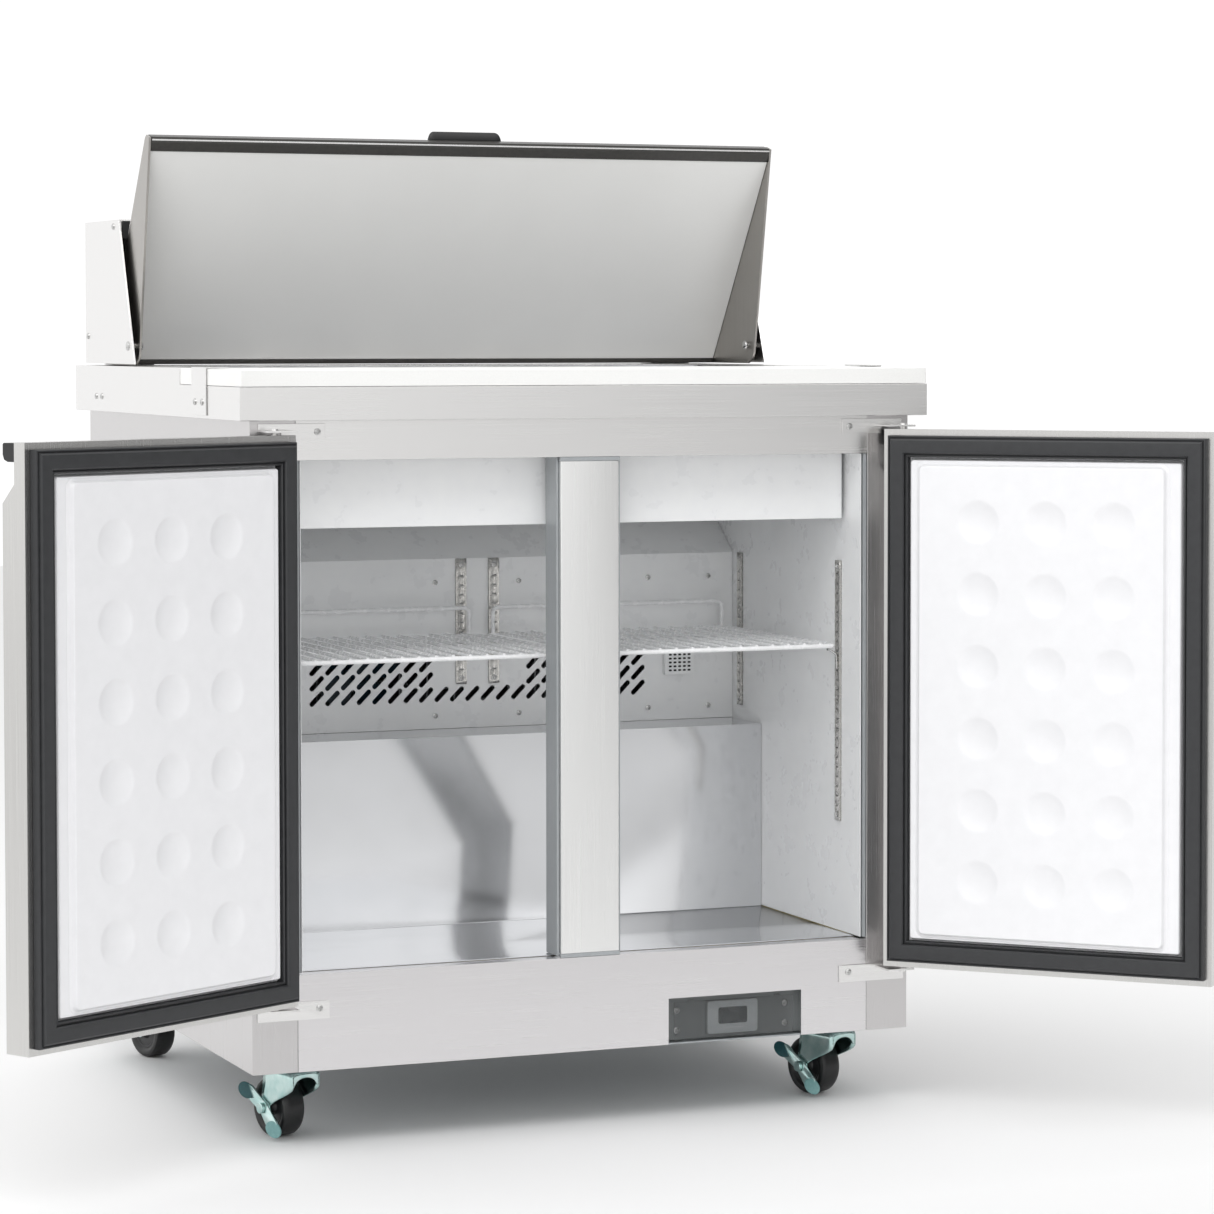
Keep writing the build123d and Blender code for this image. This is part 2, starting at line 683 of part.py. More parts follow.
# temperature controller
control_x = 200.0
control_z = 127.0
plate_y = body_front + 15.0
button_radius = 4.2
button_places = [(control_x + over, control_z + up) for over in (-29.5, 29.5) for up in (-8, 8)]
with BuildPart() as controller_panel:
    plate_rise = (base_height + 3, window_top + 4)
    block((window_left - 5, window_right + 5), (plate_y, plate_y + sheet), plate_rise)
    for low in (window_left - 5, window_right + 3.5):
        block((low, low + sheet), (body_front + 2, plate_y), plate_rise)
    block((control_x - 36, control_x + 36), (plate_y - 4, plate_y + 1), (control_z - 21, control_z + 21))
    block((control_x - 30, control_x + 30), (plate_y, plate_y + 30), (control_z - 15, control_z + 15))
    for x, z in button_places:
        rod((x, plate_y - 5, z), (x, plate_y - 1.5, z), button_radius + 0.4, Mode.SUBTRACT)
save(controller_panel, "controller_panel")

for number, (x, z) in enumerate(button_places, start=1):
    with BuildPart() as button:
        rod((x, plate_y - 5.2, z), (x, plate_y - 2.9, z), button_radius)
    save(button, f"controller_button_{number}")

flap_y = body_front + 4.5
flap_top = window_top - 6.0
with BuildPart() as controller_cover:
    block((window_left + 9, window_right - 9), (flap_y, flap_y + 1.5), (base_height + 4, flap_top))
    for x in (window_left + 32, window_right - 32):
        block((x - 4, x + 4), (flap_y - 1, flap_y + 2.5), (flap_top - 2, flap_top + 2))
save(controller_cover, "controller_cover")

# casters
axle_radius = 4.0
wheel_top_gap = 88.0
leg_in = wheel_half + 3.0
fork_sheet = 3.0
crown_low = 70.0
pedal_sheet = 3.5
pad_radius = 10.0


def make_fork(x, y):
    # swivel crown, two legs and the axle bolt, with the wheel trailing behind the swivel
    hub_y = y + caster_trail
    leg_front = y - 30
    leg_back = y + 32
    leg_out = leg_in + fork_sheet
    with BuildPart() as fork:
        block((x - leg_out, x + leg_out), (leg_front, leg_back), (wheel_top_gap - 4, wheel_top_gap))
        for low in (x - leg_out, x + leg_in):
            with BuildSketch(Plane.YZ.offset(low)):
                with BuildLine():
                    Polyline((leg_front, wheel_top_gap), (leg_back, wheel_top_gap),
                             (hub_y + 10, wheel_radius + 2), (hub_y + 4, wheel_radius - 9),
                             (hub_y - 4, wheel_radius - 9),
                             (leg_front, crown_low), close=True)
                make_face()
            extrude(amount=fork_sheet)
        # front wall of the crown
        block((x - leg_out, x + leg_out), (leg_front, leg_front + fork_sheet), (crown_low, wheel_top_gap))
        # a front caster has a longer axle, which also carries the brake pedal
        axle_out = leg_in + (12 if y < 0 else 8)
        rod((x - axle_out + 1, hub_y, wheel_radius), (x + leg_in + 6, hub_y, wheel_radius), axle_radius)
        for low in (x - axle_out, x + leg_out):
            rod((low, hub_y, wheel_radius), (low + 4.5, hub_y, wheel_radius), 7)
        rod((x, y, wheel_top_gap), (x, y, base_height - 9.4), 22)
    return fork


def make_wheel(x, y):
    # tyre with rounded shoulders, hub boss and axle bore
    hub_y = y + caster_trail
    bore = axle_radius + running_gap
    web = wheel_half - 4
    half_section = [(leg_in - 0.6, bore), (leg_in - 0.6, 11), (web, 13), (web, 26), (wheel_half, 29),
                    (wheel_half, 34), (wheel_half - 3.5, wheel_radius)]
    mirrored = [(-over, up) for over, up in reversed(half_section)]
    with BuildPart() as wheel:
        with BuildSketch(Plane(origin=(x, hub_y, wheel_radius), x_dir=(1, 0, 0), z_dir=(0, -1, 0))):
            with BuildLine():
                Polyline(*half_section, *mirrored, close=True)
            make_face()
        revolve(axis=Axis((x, hub_y, wheel_radius), (1, 0, 0)))
    return wheel


def make_pedal(x, y):
    # rocker plate that turns on the axle, with a foot pad behind and above it and one ahead and below
    hub_y = y + caster_trail
    low = x - leg_in - 7
    outline = [(-24, -30), (-34, -24), (-30, -14), (-10, 6), (-2, 10), (24, 24), (34, 26), (40, 18),
               (36, 10), (8, -4), (2, -9), (-16, -30)]
    with BuildPart() as pedal:
        with BuildSketch(Plane.YZ.offset(low)):
            with BuildLine():
                Polyline(*[(hub_y + ahead, wheel_radius + up) for ahead, up in outline], close=True)
            make_face()
            with Locations((hub_y, wheel_radius)):
                Circle(axle_radius + running_gap, mode=Mode.SUBTRACT)
        extrude(amount=pedal_sheet)
        for ahead, up in ((33, 18), (-28, -23)):
            seat = Plane(origin=(low - 2, hub_y + ahead, wheel_radius + up), z_dir=(-0.75, -0.6, 0.25))
            with Locations(seat.location):
                Cylinder(pad_radius, pedal_sheet)
    return pedal


def save_caster_piece(piece, x, y, name):
    # every caster piece is drawn with its wheel straight and then turned about the swivel
    turned = piece.part.rotate(Axis((x, y, 0), (0, 0, 1)), caster_turn)
    turned.label = name
    export_step(turned, f"parts/{name}.step")


corner_places = [(x, y) for y in (-caster_y, caster_y) for x in (-caster_x, caster_x)]
for number, (x, y) in enumerate(corner_places, start=1):
    save_caster_piece(make_fork(x, y), x, y, f"caster_fork_{number}")
    save_caster_piece(make_wheel(x, y), x, y, f"caster_wheel_{number}")
for number, (x, y) in enumerate(corner_places[:2], start=1):
    save_caster_piece(make_pedal(x, y), x, y, f"brake_pedal_{number}")

# screws, bolts and lid pivots
screw_radius = 4.2
screw_height = 2.2
skirt_screw_z = skirt_bottom + 20.5
bracket_screw_x = 358.0
with BuildPart() as fasteners:
    for side in (-1, 1):
        x_skirt = side * (top_half + 0.2)
        x_clip = side * (top_half + 2.2)
        x_hood = side * (hood_half + 0.2)
        places = ((x_skirt, 257, skirt_screw_z), (x_skirt, 287, skirt_screw_z),
                  (x_clip, clip_front + 16, skirt_screw_z), (x_clip, clip_back - 16, skirt_screw_z),
                  (x_hood, flange_y + 28, hood_top - 9), (x_hood, hood_back - 14, top_height + 40))
        for x, y, z in places:
            rod((x, y, z), (x + side * screw_height, y, z), screw_radius)
        # lid pivot bolt through the hood side and the lid side
        rod((side * (lid_half - 7), pivot_y, pivot_z), (side * (hood_half + 3), pivot_y, pivot_z), pin_radius)
        rod((side * (lid_half - 7), pivot_y, pivot_z), (side * (lid_half - 3.5), pivot_y, pivot_z), 6.5)
        bracket_face = body_front - bracket_sheet
        for z in (door_top + 3, door_bottom - 10):
            x = side * bracket_screw_x
            rod((x, bracket_face - 0.2, z), (x, bracket_face - screw_height, z), screw_radius)
    for x in (window_left + 17, window_right - 17):
        for z in (base_height + 15, window_top - 18):
            rod((x, plate_y - 2.4, z), (x, plate_y - 0.2, z), screw_radius)
save(fasteners, "fasteners")
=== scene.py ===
import json
import math
import bmesh
import bpy
import numpy as np
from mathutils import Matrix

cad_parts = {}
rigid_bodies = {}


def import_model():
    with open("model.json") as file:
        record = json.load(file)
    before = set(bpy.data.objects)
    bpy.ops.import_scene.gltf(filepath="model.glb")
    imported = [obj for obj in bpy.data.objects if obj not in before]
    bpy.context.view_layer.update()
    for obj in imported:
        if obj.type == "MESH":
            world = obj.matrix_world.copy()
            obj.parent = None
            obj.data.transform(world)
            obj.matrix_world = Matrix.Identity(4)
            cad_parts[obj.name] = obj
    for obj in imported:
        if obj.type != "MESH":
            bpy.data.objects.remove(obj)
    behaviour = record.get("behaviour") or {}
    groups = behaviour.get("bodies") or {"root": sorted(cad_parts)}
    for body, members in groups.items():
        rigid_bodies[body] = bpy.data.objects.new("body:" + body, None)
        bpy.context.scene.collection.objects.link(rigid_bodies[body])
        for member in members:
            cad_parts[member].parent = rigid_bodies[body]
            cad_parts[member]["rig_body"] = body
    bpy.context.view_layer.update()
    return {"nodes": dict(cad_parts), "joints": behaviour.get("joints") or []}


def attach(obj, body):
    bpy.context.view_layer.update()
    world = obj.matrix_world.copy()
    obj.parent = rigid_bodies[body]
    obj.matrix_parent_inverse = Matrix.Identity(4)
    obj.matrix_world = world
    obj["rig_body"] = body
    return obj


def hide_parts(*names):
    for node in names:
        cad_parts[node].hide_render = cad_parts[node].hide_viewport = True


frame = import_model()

mm = 0.001
nodes = frame["nodes"]
scene = bpy.context.scene
joints = {joint["name"]: joint for joint in frame["joints"]}
print("prep table: frame loaded,", len(nodes), "nodes")


# materials
def hexToLinear(code):
    # an sRGB colour such as #C0C0C0 turned to linear light
    channels = [int(code[i:i + 2], 16) / 255 for i in (1, 3, 5)]
    return (*[c / 12.92 if c <= 0.04045 else ((c + 0.055) / 1.055) ** 2.4 for c in channels], 1.0)


def addNode(material, kind, settings=None, links=None):
    # one node: lower-case settings are its attributes, the others its sockets; a link is (node, output socket)
    node = material.node_tree.nodes.new(kind)
    for name, value in (settings or {}).items():
        if isinstance(name, str) and name[0].islower():
            setattr(node, name, value)
        else:
            node.inputs[name].default_value = value
    for socket, (source, output) in (links or {}).items():
        material.node_tree.links.new(source.outputs[output], node.inputs[socket])
    return node


def newMaterial(name, color, settings):
    # an empty material with a Principled shader that has these uniform values
    material = bpy.data.materials.new(name)
    material.use_nodes = True
    material.node_tree.nodes.clear()
    shader = addNode(material, "ShaderNodeBsdfPrincipled", {"Base Color": hexToLinear(color), **settings})
    addNode(material, "ShaderNodeOutputMaterial", {}, {"Surface": (shader, "BSDF")})
    return material, shader


def wire(material, source, output, target, socket):
    material.node_tree.links.new(source.outputs[output], target.inputs[socket])


def patterned(name, settings, shape, colors, roughness, relief):
    # the colour, the roughness and the height of a finish all follow one noise field.
    # shape: cells per metre along X, Y and Z, and the noise's detail; relief: height in mm and strength
    material, shader = newMaterial(name, colors[0], settings)
    place = addNode(material, "ShaderNodeTexCoord")
    stretch = addNode(material, "ShaderNodeMapping", {"Scale": shape[0]}, {"Vector": (place, "Object")})
    grain = addNode(material, "ShaderNodeTexNoise", {"Scale": 1.0, "Detail": shape[1], "Roughness": 0.6},
                    {"Vector": (stretch, "Vector")})
    tint = addNode(material, "ShaderNodeValToRGB", {}, {"Fac": (grain, "Fac")})
    for stop, position, color in zip(tint.color_ramp.elements, (0.3, 0.7), colors):
        stop.position = position
        stop.color = hexToLinear(color)
    wire(material, tint, "Color", shader, "Base Color")
    gloss = addNode(material, "ShaderNodeMapRange", {"From Min": 0.3, "From Max": 0.7,
                    "To Min": roughness[0], "To Max": roughness[1]}, {"Value": (grain, "Fac")})
    wire(material, gloss, "Result", shader, "Roughness")
    bump = addNode(material, "ShaderNodeBump", {"Distance": relief[0] * mm, "Strength": relief[1]},
                   {"Height": (grain, "Fac")})
    wire(material, bump, "Normal", shader, "Normal")
    return material


# 430 stainless sheet, belt brushed. Real lines are about 0.1 mm apart, drawn 1 mm so that they show.
# The eye sees a pale satin metal whose reflections smear across the lines.
across = 1 / (1.0 * mm)
along = 1 / (220 * mm)
brushLayout = {"X": (along, across, across), "Y": (across, along, across), "Z": (across, across, along)}


def brushedSteel(name, axis, colors, roughness=(0.22, 0.28)):
    return patterned(name, {"Metallic": 1.0}, (brushLayout[axis], 2.0), colors, roughness, (0.004, 0.06))


# the six steels below are one stainless in lighter and darker tones: each part's base colour paints in the light
# or shade that falls on it, lightest on the mullion and the lid's edge, darkest on the side panels and door pans
steelX = brushedSteel("steelBrushedAlongX", "X", ("#E5E4E3", "#EBEAE9"))
steelY = brushedSteel("steelBrushedAlongY", "Y", ("#DFDEDE", "#E5E4E4"))
steelZ = brushedSteel("steelBrushedAlongZ", "Z", ("#F0F0EF", "#F5F5F4"))
steelPanel = brushedSteel("steelBrushedPanel", "X", ("#DAD8D9", "#E0DEDF"))
steelPost = brushedSteel("steelBrushedPost", "Z", ("#C8C6C6", "#CECCCC"))
steelDoor = brushedSteel("steelBrushedDoor", "Z", ("#CDCCCA", "#D3D2D0"))
# bright annealed stainless: rolled, not brushed, so it is nearly a mirror with faint waves
steelBright = patterned("steelBrightAnnealed", {"Metallic": 1.0}, ((9.0, 9.0, 9.0), 2.0),
                        ("#DADBDD", "#E0E1E3"), (0.10, 0.14), (0.05, 0.02))
# the lid's inner sheet is aluminium with a warm white stoved enamel, which shows broad soft reflections
lidInner = patterned("enamelWarmWhite", {"IOR": 1.5}, ((6.0, 6.0, 6.0), 2.0),
                     ("#F0F0EE", "#F3F3F1"), (0.30, 0.34), (0.05, 0.01))
# hot-dip galvanised steel: dull grey zinc with crystals some 12 mm wide
galvanised = patterned("steelGalvanised", {"Metallic": 1.0}, ((80.0, 80.0, 80.0), 4.0),
                       ("#9FA4A6", "#B6BABC"), (0.38, 0.5), (0.02, 0.1))
# bright zinc plate with a blue-green passivation, on the casters
zincPlate = patterned("zincPlateBlue", {"Metallic": 1.0}, ((60.0, 60.0, 60.0), 3.0),
                      ("#A9CCC9", "#CFE3E0"), (0.16, 0.24), (0.02, 0.06))
# powder coat of the pedals, teal on the upper pad and greyer on the lower one
padTeal = patterned("powderCoatTeal", {"IOR": 1.5}, ((300.0, 300.0, 300.0), 3.0),
                    ("#15464B", "#1D555A"), (0.30, 0.40), (0.03, 0.15))
padPale = patterned("powderCoatPaleTeal", {"IOR": 1.5}, ((300.0, 300.0, 300.0), 3.0),
                    ("#6F9C9C", "#7DAAA9"), (0.30, 0.40), (0.03, 0.15))
screwSteel = patterned("steelPolishedScrew", {"Metallic": 1.0}, ((400.0, 400.0, 400.0), 2.0),
                       ("#BDBDBC", "#D5D5D4"), (0.18, 0.28), (0.01, 0.1))
# bright nickel plate on the shelf standards, a little warm and softly glossy
nickelPlate = patterned("nickelPlateBright", {"Metallic": 1.0}, ((90.0, 90.0, 90.0), 2.0),
                        ("#D2D0CC", "#DAD8D4"), (0.24, 0.30), (0.01, 0.04))
# high-impact polystyrene, vacuum formed: smooth white with a soft gloss
styreneWhite = patterned("polystyreneFormed", {"IOR": 1.59}, ((45.0, 45.0, 45.0), 3.0),
                         ("#F1F1F3", "#F4F4F6"), (0.28, 0.34), (0.02, 0.02))
# aluminium sheet with a white enamel, on the walls of the cabinet
enamelWhite = patterned("enamelWhiteSheet", {"IOR": 1.5}, ((30.0, 30.0, 30.0), 3.0),
                        ("#F0F1F2", "#F4F5F5"), (0.26, 0.32), (0.02, 0.02))
# high-density polyethylene board, planed: matt white with a fine tooth of about 1.5 mm
boardWhite = patterned("polyethyleneBoard", {"IOR": 1.54}, ((650.0, 650.0, 650.0), 4.0),
                       ("#F3F3F1", "#F9F9F7"), (0.44, 0.56), (0.05, 0.15))
# PVC extrusion of the breaker strips: mid grey and slightly glossy
stripGrey = patterned("pvcExtrudedGrey", {"IOR": 1.53}, ((300.0, 300.0, 60.0), 3.0),
                      ("#9EA2A5", "#A8ACAE"), (0.34, 0.42), (0.02, 0.08))
# soft PVC of the magnetic door gasket: dark grey with a greasy sheen
gasketGrey = patterned("pvcGasketSoft", {"IOR": 1.53}, ((90.0, 90.0, 90.0), 3.0),
                       ("#2B2C2E", "#323335"), (0.44, 0.52), (0.05, 0.08))
gasketBlack = patterned("epdmFoamBlack", {"IOR": 1.52}, ((500.0, 500.0, 500.0), 4.0),
                        ("#121213", "#1B1B1C"), (0.7, 0.8), (0.2, 0.4))
# ABS moulded against a spark-eroded tool, grain about 0.8 mm
absBlack = patterned("absMouldedBlack", {"IOR": 1.54}, ((1250.0, 1250.0, 1250.0), 3.0),
                     ("#1A1A1B", "#232324"), (0.36, 0.48), (0.03, 0.2))
trimBlack = patterned("pvcTrimBlack", {"IOR": 1.53}, ((200.0, 200.0, 200.0), 3.0),
                      ("#2E2D2B", "#393734"), (0.30, 0.40), (0.03, 0.08))
# the lid's side plates: the same brushed steel painted a darker grey, as painted shade for the shadow that falls
# on them
lidSidePaintedShade = patterned("steelLidSidePaintedShade", {"Metallic": 1.0}, ((across, across, 1 / (120 * mm)), 2.0),
                        ("#A3A09C", "#AFACA8"), (0.28, 0.36), (0.004, 0.06))
# polyethylene-coated wire: white, thick and glossy
wireWhite = patterned("wireCoatedWhite", {"IOR": 1.5, "Coat Weight": 0.3}, ((120.0, 120.0, 120.0), 2.0),
                      ("#EFF0F1", "#F7F7F8"), (0.22, 0.30), (0.02, 0.05))
# cast polyurethane tread and moulded polypropylene hub of the casters
tyreBlack = patterned("polyurethaneTyre", {"IOR": 1.5}, ((260.0, 260.0, 260.0), 4.0),
                      ("#101011", "#1B1B1C"), (0.30, 0.42), (0.03, 0.15))
hubBlack = patterned("polypropyleneHub", {"IOR": 1.49}, ((500.0, 500.0, 500.0), 3.0),
                     ("#1C1C1E", "#272729"), (0.34, 0.44), (0.03, 0.15))
controlGrey = patterned("absControlGrey", {"IOR": 1.54}, ((700.0, 700.0, 700.0), 3.0),
                        ("#7C8081", "#858989"), (0.30, 0.40), (0.02, 0.1))
bezelGrey = patterned("absBezelLight", {"IOR": 1.54}, ((700.0, 700.0, 700.0), 3.0),
                      ("#D3D8DA", "#DDE2E4"), (0.30, 0.40), (0.02, 0.1))
# smoked polycarbonate flap: dark glossy sheet that lets about half of the light through
smoked = patterned("polycarbonateSmoked", {"IOR": 1.58, "Alpha": 0.32}, ((60.0, 60.0, 60.0), 1.0),
                   ("#4A4D4E", "#505354"), (0.06, 0.10), (0.02, 0.01))
displayDark = patterned("acrylicDisplay", {"IOR": 1.49, "Coat Weight": 0.6}, ((40.0, 40.0, 40.0), 1.0),
                        ("#202426", "#2A2E30"), (0.08, 0.12), (0.02, 0.02))
inkWhite = patterned("inkPrintedWhite", {"IOR": 1.5}, ((900.0, 900.0, 900.0), 2.0),
                     ("#E4E7E8", "#EFF2F3"), (0.4, 0.5), (0.01, 0.05))
# black enamel of the condensing unit, also used as the painted shade of the sensor cover's slots
blackEnamelAndSlotShade = patterned("enamelUnitBlackAndSlotShade", {"IOR": 1.5}, ((200.0, 200.0, 200.0), 3.0),
                       ("#141415", "#1F1F20"), (0.28, 0.38), (0.03, 0.1))
fanBlue = patterned("polypropyleneFanBlue", {"IOR": 1.49}, ((200.0, 200.0, 200.0), 3.0),
                    ("#0E2A36", "#15394A"), (0.28, 0.36), (0.03, 0.1))
finAluminium = patterned("aluminiumFin", {"Metallic": 1.0}, ((300.0, 300.0, 300.0), 2.0),
                         ("#B9BCBE", "#CDD0D1"), (0.3, 0.4), (0.02, 0.1))
foamYellow = patterned("polyurethaneFoam", {"IOR": 1.5}, ((600.0, 600.0, 600.0), 5.0),
                       ("#D8C98E", "#E6DAA6"), (0.8, 0.9), (0.4, 0.6))
print("prep table: materials made")


# mesh building
def patch(points, closeRows=False, closeColumns=False, caps=False):
    # quads between neighbouring points of a (rows, columns, 3) array; caps close the first and last row
    rows, columns = points.shape[:2]
    index = np.arange(rows * columns).reshape(rows, columns)
    if closeRows:
        index = np.vstack([index, index[:1]])
    if closeColumns:
        index = np.hstack([index, index[:, :1]])
    corners = (index[:-1, :-1], index[:-1, 1:], index[1:, 1:], index[1:, :-1])
    faces = np.stack(corners, -1).reshape(-1, 4).tolist()
    if caps:
        faces += [index[0, :columns][::-1].tolist(), index[-1, :columns].tolist()]
    return points.reshape(-1, 3), faces


def makePiece(name, patches, material, body, replaced=(), sharpAngle=35, openSheet=False):
    # joins patches given in millimetres into one mesh, merges their seams and turns the faces outwards
    vertices, faces, start = [], [], 0
    for points, quads in patches:
        vertices.append(points)
        faces += [[start + corner for corner in face] for face in quads]
        start += len(points)
    mesh = bpy.data.meshes.new(name)
    mesh.from_pydata((np.concatenate(vertices) * mm).tolist(), [], faces)
    return finishPiece(name, mesh, material, body, replaced, sharpAngle, openSheet=openSheet)


def finishPiece(name, mesh, material, body, replaced=(), sharpAngle=35, merge=1e-6,
                openSheet=False):
    work = bmesh.new()
    work.from_mesh(mesh)
    bmesh.ops.remove_doubles(work, verts=work.verts, dist=merge)
    bmesh.ops.dissolve_degenerate(work, edges=work.edges, dist=1e-7)
    if not openSheet:
        # an open sheet has no inside, so its faces keep the way that its rows and columns give them
        bmesh.ops.recalc_face_normals(work, faces=work.faces)
    work.to_mesh(mesh)
    work.free()
    mesh.materials.clear()
    mesh.materials.append(material)
    mesh.shade_smooth()
    mesh.set_sharp_from_angle(angle=math.radians(sharpAngle))
    piece = bpy.data.objects.new(name, mesh)
    scene.collection.objects.link(piece)
    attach(piece, body)
    if replaced:
        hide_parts(*replaced)
    return piece


def soften(piece, width, segments=2, angle=40):
    # rounds the edges of a piece by this many millimetres
    bevel = piece.modifiers.new("roundedEdges", "BEVEL")
    bevel.width = width * mm
    bevel.segments = segments
    bevel.limit_method = "ANGLE"
    bevel.angle_limit = math.radians(angle)
    bevel.harden_normals = True
    bevel.use_clamp_overlap = True
    return piece


def edged(node, material, width, segments=2):
    # a merged copy of a CAD node with flat faces made whole and its edges rounded
    mesh = nodes[node].data.copy()
    mesh.name = node + "_edged"
    work = bmesh.new()
    work.from_mesh(mesh)
    bmesh.ops.remove_doubles(work, verts=work.verts, dist=1e-5)
    bmesh.ops.dissolve_limit(work, angle_limit=math.radians(1.0), verts=work.verts, edges=work.edges)
    work.to_mesh(mesh)
    work.free()
    body = nodes[node]["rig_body"]
    piece = finishPiece(node + "_edged", mesh, material, body, (node,), 40, 1e-5)
    return soften(piece, width, segments)


def paint(material, *names):
    # gives CAD nodes that stay as they are their finish
    for name in names:
        nodes[name].data.materials.clear()
        nodes[name].data.materials.append(material)


def arc(centre, radius, start, end, steps):
    # points on a circle from one angle to another, in degrees
    angle = np.radians(np.linspace(start, end, steps))
    return np.stack([centre[0] + radius * np.cos(angle), centre[1] + radius * np.sin(angle)], -1)


def roundedRectangle(width, height, radius, steps=7):
    # outline of a rectangle about the origin with an arc at each corner
    w, h = width / 2 - radius, height / 2 - radius
    corners = ((w, h, 0), (-w, h, 90), (-w, -h, 180), (w, -h, 270))
    return np.concatenate([arc((x, y), radius, a, a + 90, steps) for x, y, a in corners])


def slabOf(outline, low, high, rounding=0.6, steps=3):
    # a plate with this (n, 2) outline: rows climb from low to high, drawn in along an arc at each end
    centre = outline.mean(0)
    reach = np.linalg.norm(outline - centre, axis=1).max()
    turn = np.radians(np.linspace(0, 90, steps))
    inset = np.concatenate([rounding * (1 - np.sin(turn)), rounding * (1 - np.cos(turn))])
    level = np.concatenate([low + rounding * (1 - np.cos(turn)), high - rounding + rounding * np.sin(turn)])
    flat = centre + (outline - centre) * (1 - inset / reach)[:, None, None]
    up = np.broadcast_to(level[:, None, None], flat.shape[:2] + (1,))
    return np.concatenate([flat, up], -1)


def turned(profile, sides=48):
    # a profile of (radius, height) points turned about Z
    angle = np.linspace(0, 2 * np.pi, sides, endpoint=False)
    radius, height = np.asarray(profile, float).T
    ring = np.stack([np.cos(angle), np.sin(angle)], -1)
    flat = radius[:, None, None] * ring[None]
    return np.concatenate([flat, np.broadcast_to(height[:, None, None], flat.shape[:2] + (1,))], -1)


def placed(points, origin, xDir, zDir):
    # moves points from their own axes to an origin with a given X and Z direction
    x = np.array(xDir, float) / np.linalg.norm(xDir)
    z = np.array(zDir, float) / np.linalg.norm(zDir)
    return np.asarray(origin, float) + points @ np.stack([x, np.cross(z, x), z])


def roundedPath(corners, radius, steps=6):
    # straight runs with an arc of this radius at each inner corner, as a quadratic curve through three points
    corners = np.asarray(corners, float)
    path = [corners[:1]]
    share = np.linspace(0, 1, steps)[:, None]
    for before, corner, after in zip(corners, corners[1:], corners[2:]):
        enter = corner + (before - corner) / np.linalg.norm(before - corner) * radius
        leave = corner + (after - corner) / np.linalg.norm(after - corner) * radius
        path.append((1 - share) ** 2 * enter + 2 * share * (1 - share) * corner + share ** 2 * leave)
    return np.concatenate(path + [corners[-1:]])


def tube(path, radius, flatNormal, sides=10, closed=False):
    # a circle carried along a path that lies in one plane, whose normal is given
    path = np.asarray(path, float)
    ahead = np.roll(path, -1, 0) - np.roll(path, 1, 0)
    if not closed:
        ahead[0], ahead[-1] = path[1] - path[0], path[-1] - path[-2]
    ahead /= np.linalg.norm(ahead, axis=1)[:, None]
    up = np.broadcast_to(np.asarray(flatNormal, float), path.shape)
    side = np.cross(ahead, up)
    angle = np.linspace(0, 2 * np.pi, sides, endpoint=False)[None, :, None]
    points = path[:, None] + radius * (np.cos(angle) * side[:, None] + np.sin(angle) * up[:, None])
    return patch(points, closeRows=closed, closeColumns=True, caps=not closed)


def smoothStep(value):
    value = np.clip(value, 0, 1)
    return value * value * (3 - 2 * value)


# doors
door = {"pinX": 421, "pinY": -412, "leftAngle": 151, "rightAngle": 134, "hingeEdge": -20, "freeEdge": 418,
        "inner": 16, "bottom": 186, "top": 881}


def onDoor(side, points):
    # (along, inward, up) in millimetres from the hinge pin of an opened door, to the shared frame
    turn = math.radians(door["leftAngle"] if side < 0 else door["rightAngle"])
    alongDir = np.array([-side * math.cos(turn), -math.sin(turn), 0])
    inwardDir = -side * np.array([-alongDir[1], alongDir[0], 0])
    axes = np.stack([alongDir, inwardDir, [0, 0, 1]])
    return np.array([side * door["pinX"], door["pinY"], 0]) + points @ axes


liner = {"edge": 15, "rim": 36.5, "frame": (50, 58, 44, 44), "rise": 9, "field": 5.4, "corner": 9,
         "middle": 4, "dent": 27, "depth": 4.6, "columns": (-90, 0, 90), "rows": 6, "first": 117, "grid": 2.4}


def insideRectangle(a, z, low, high, corner):
    # distance from a point to the edge of a rounded rectangle, positive inside
    centre = [(l + h) / 2 for l, h in zip(low, high)]
    half = [(h - l) / 2 - corner for l, h in zip(low, high)]
    da, dz = abs(a - centre[0]) - half[0], abs(z - centre[1]) - half[1]
    outside = np.hypot(np.maximum(da, 0), np.maximum(dz, 0)) + np.minimum(np.maximum(da, dz), 0)
    return corner - outside


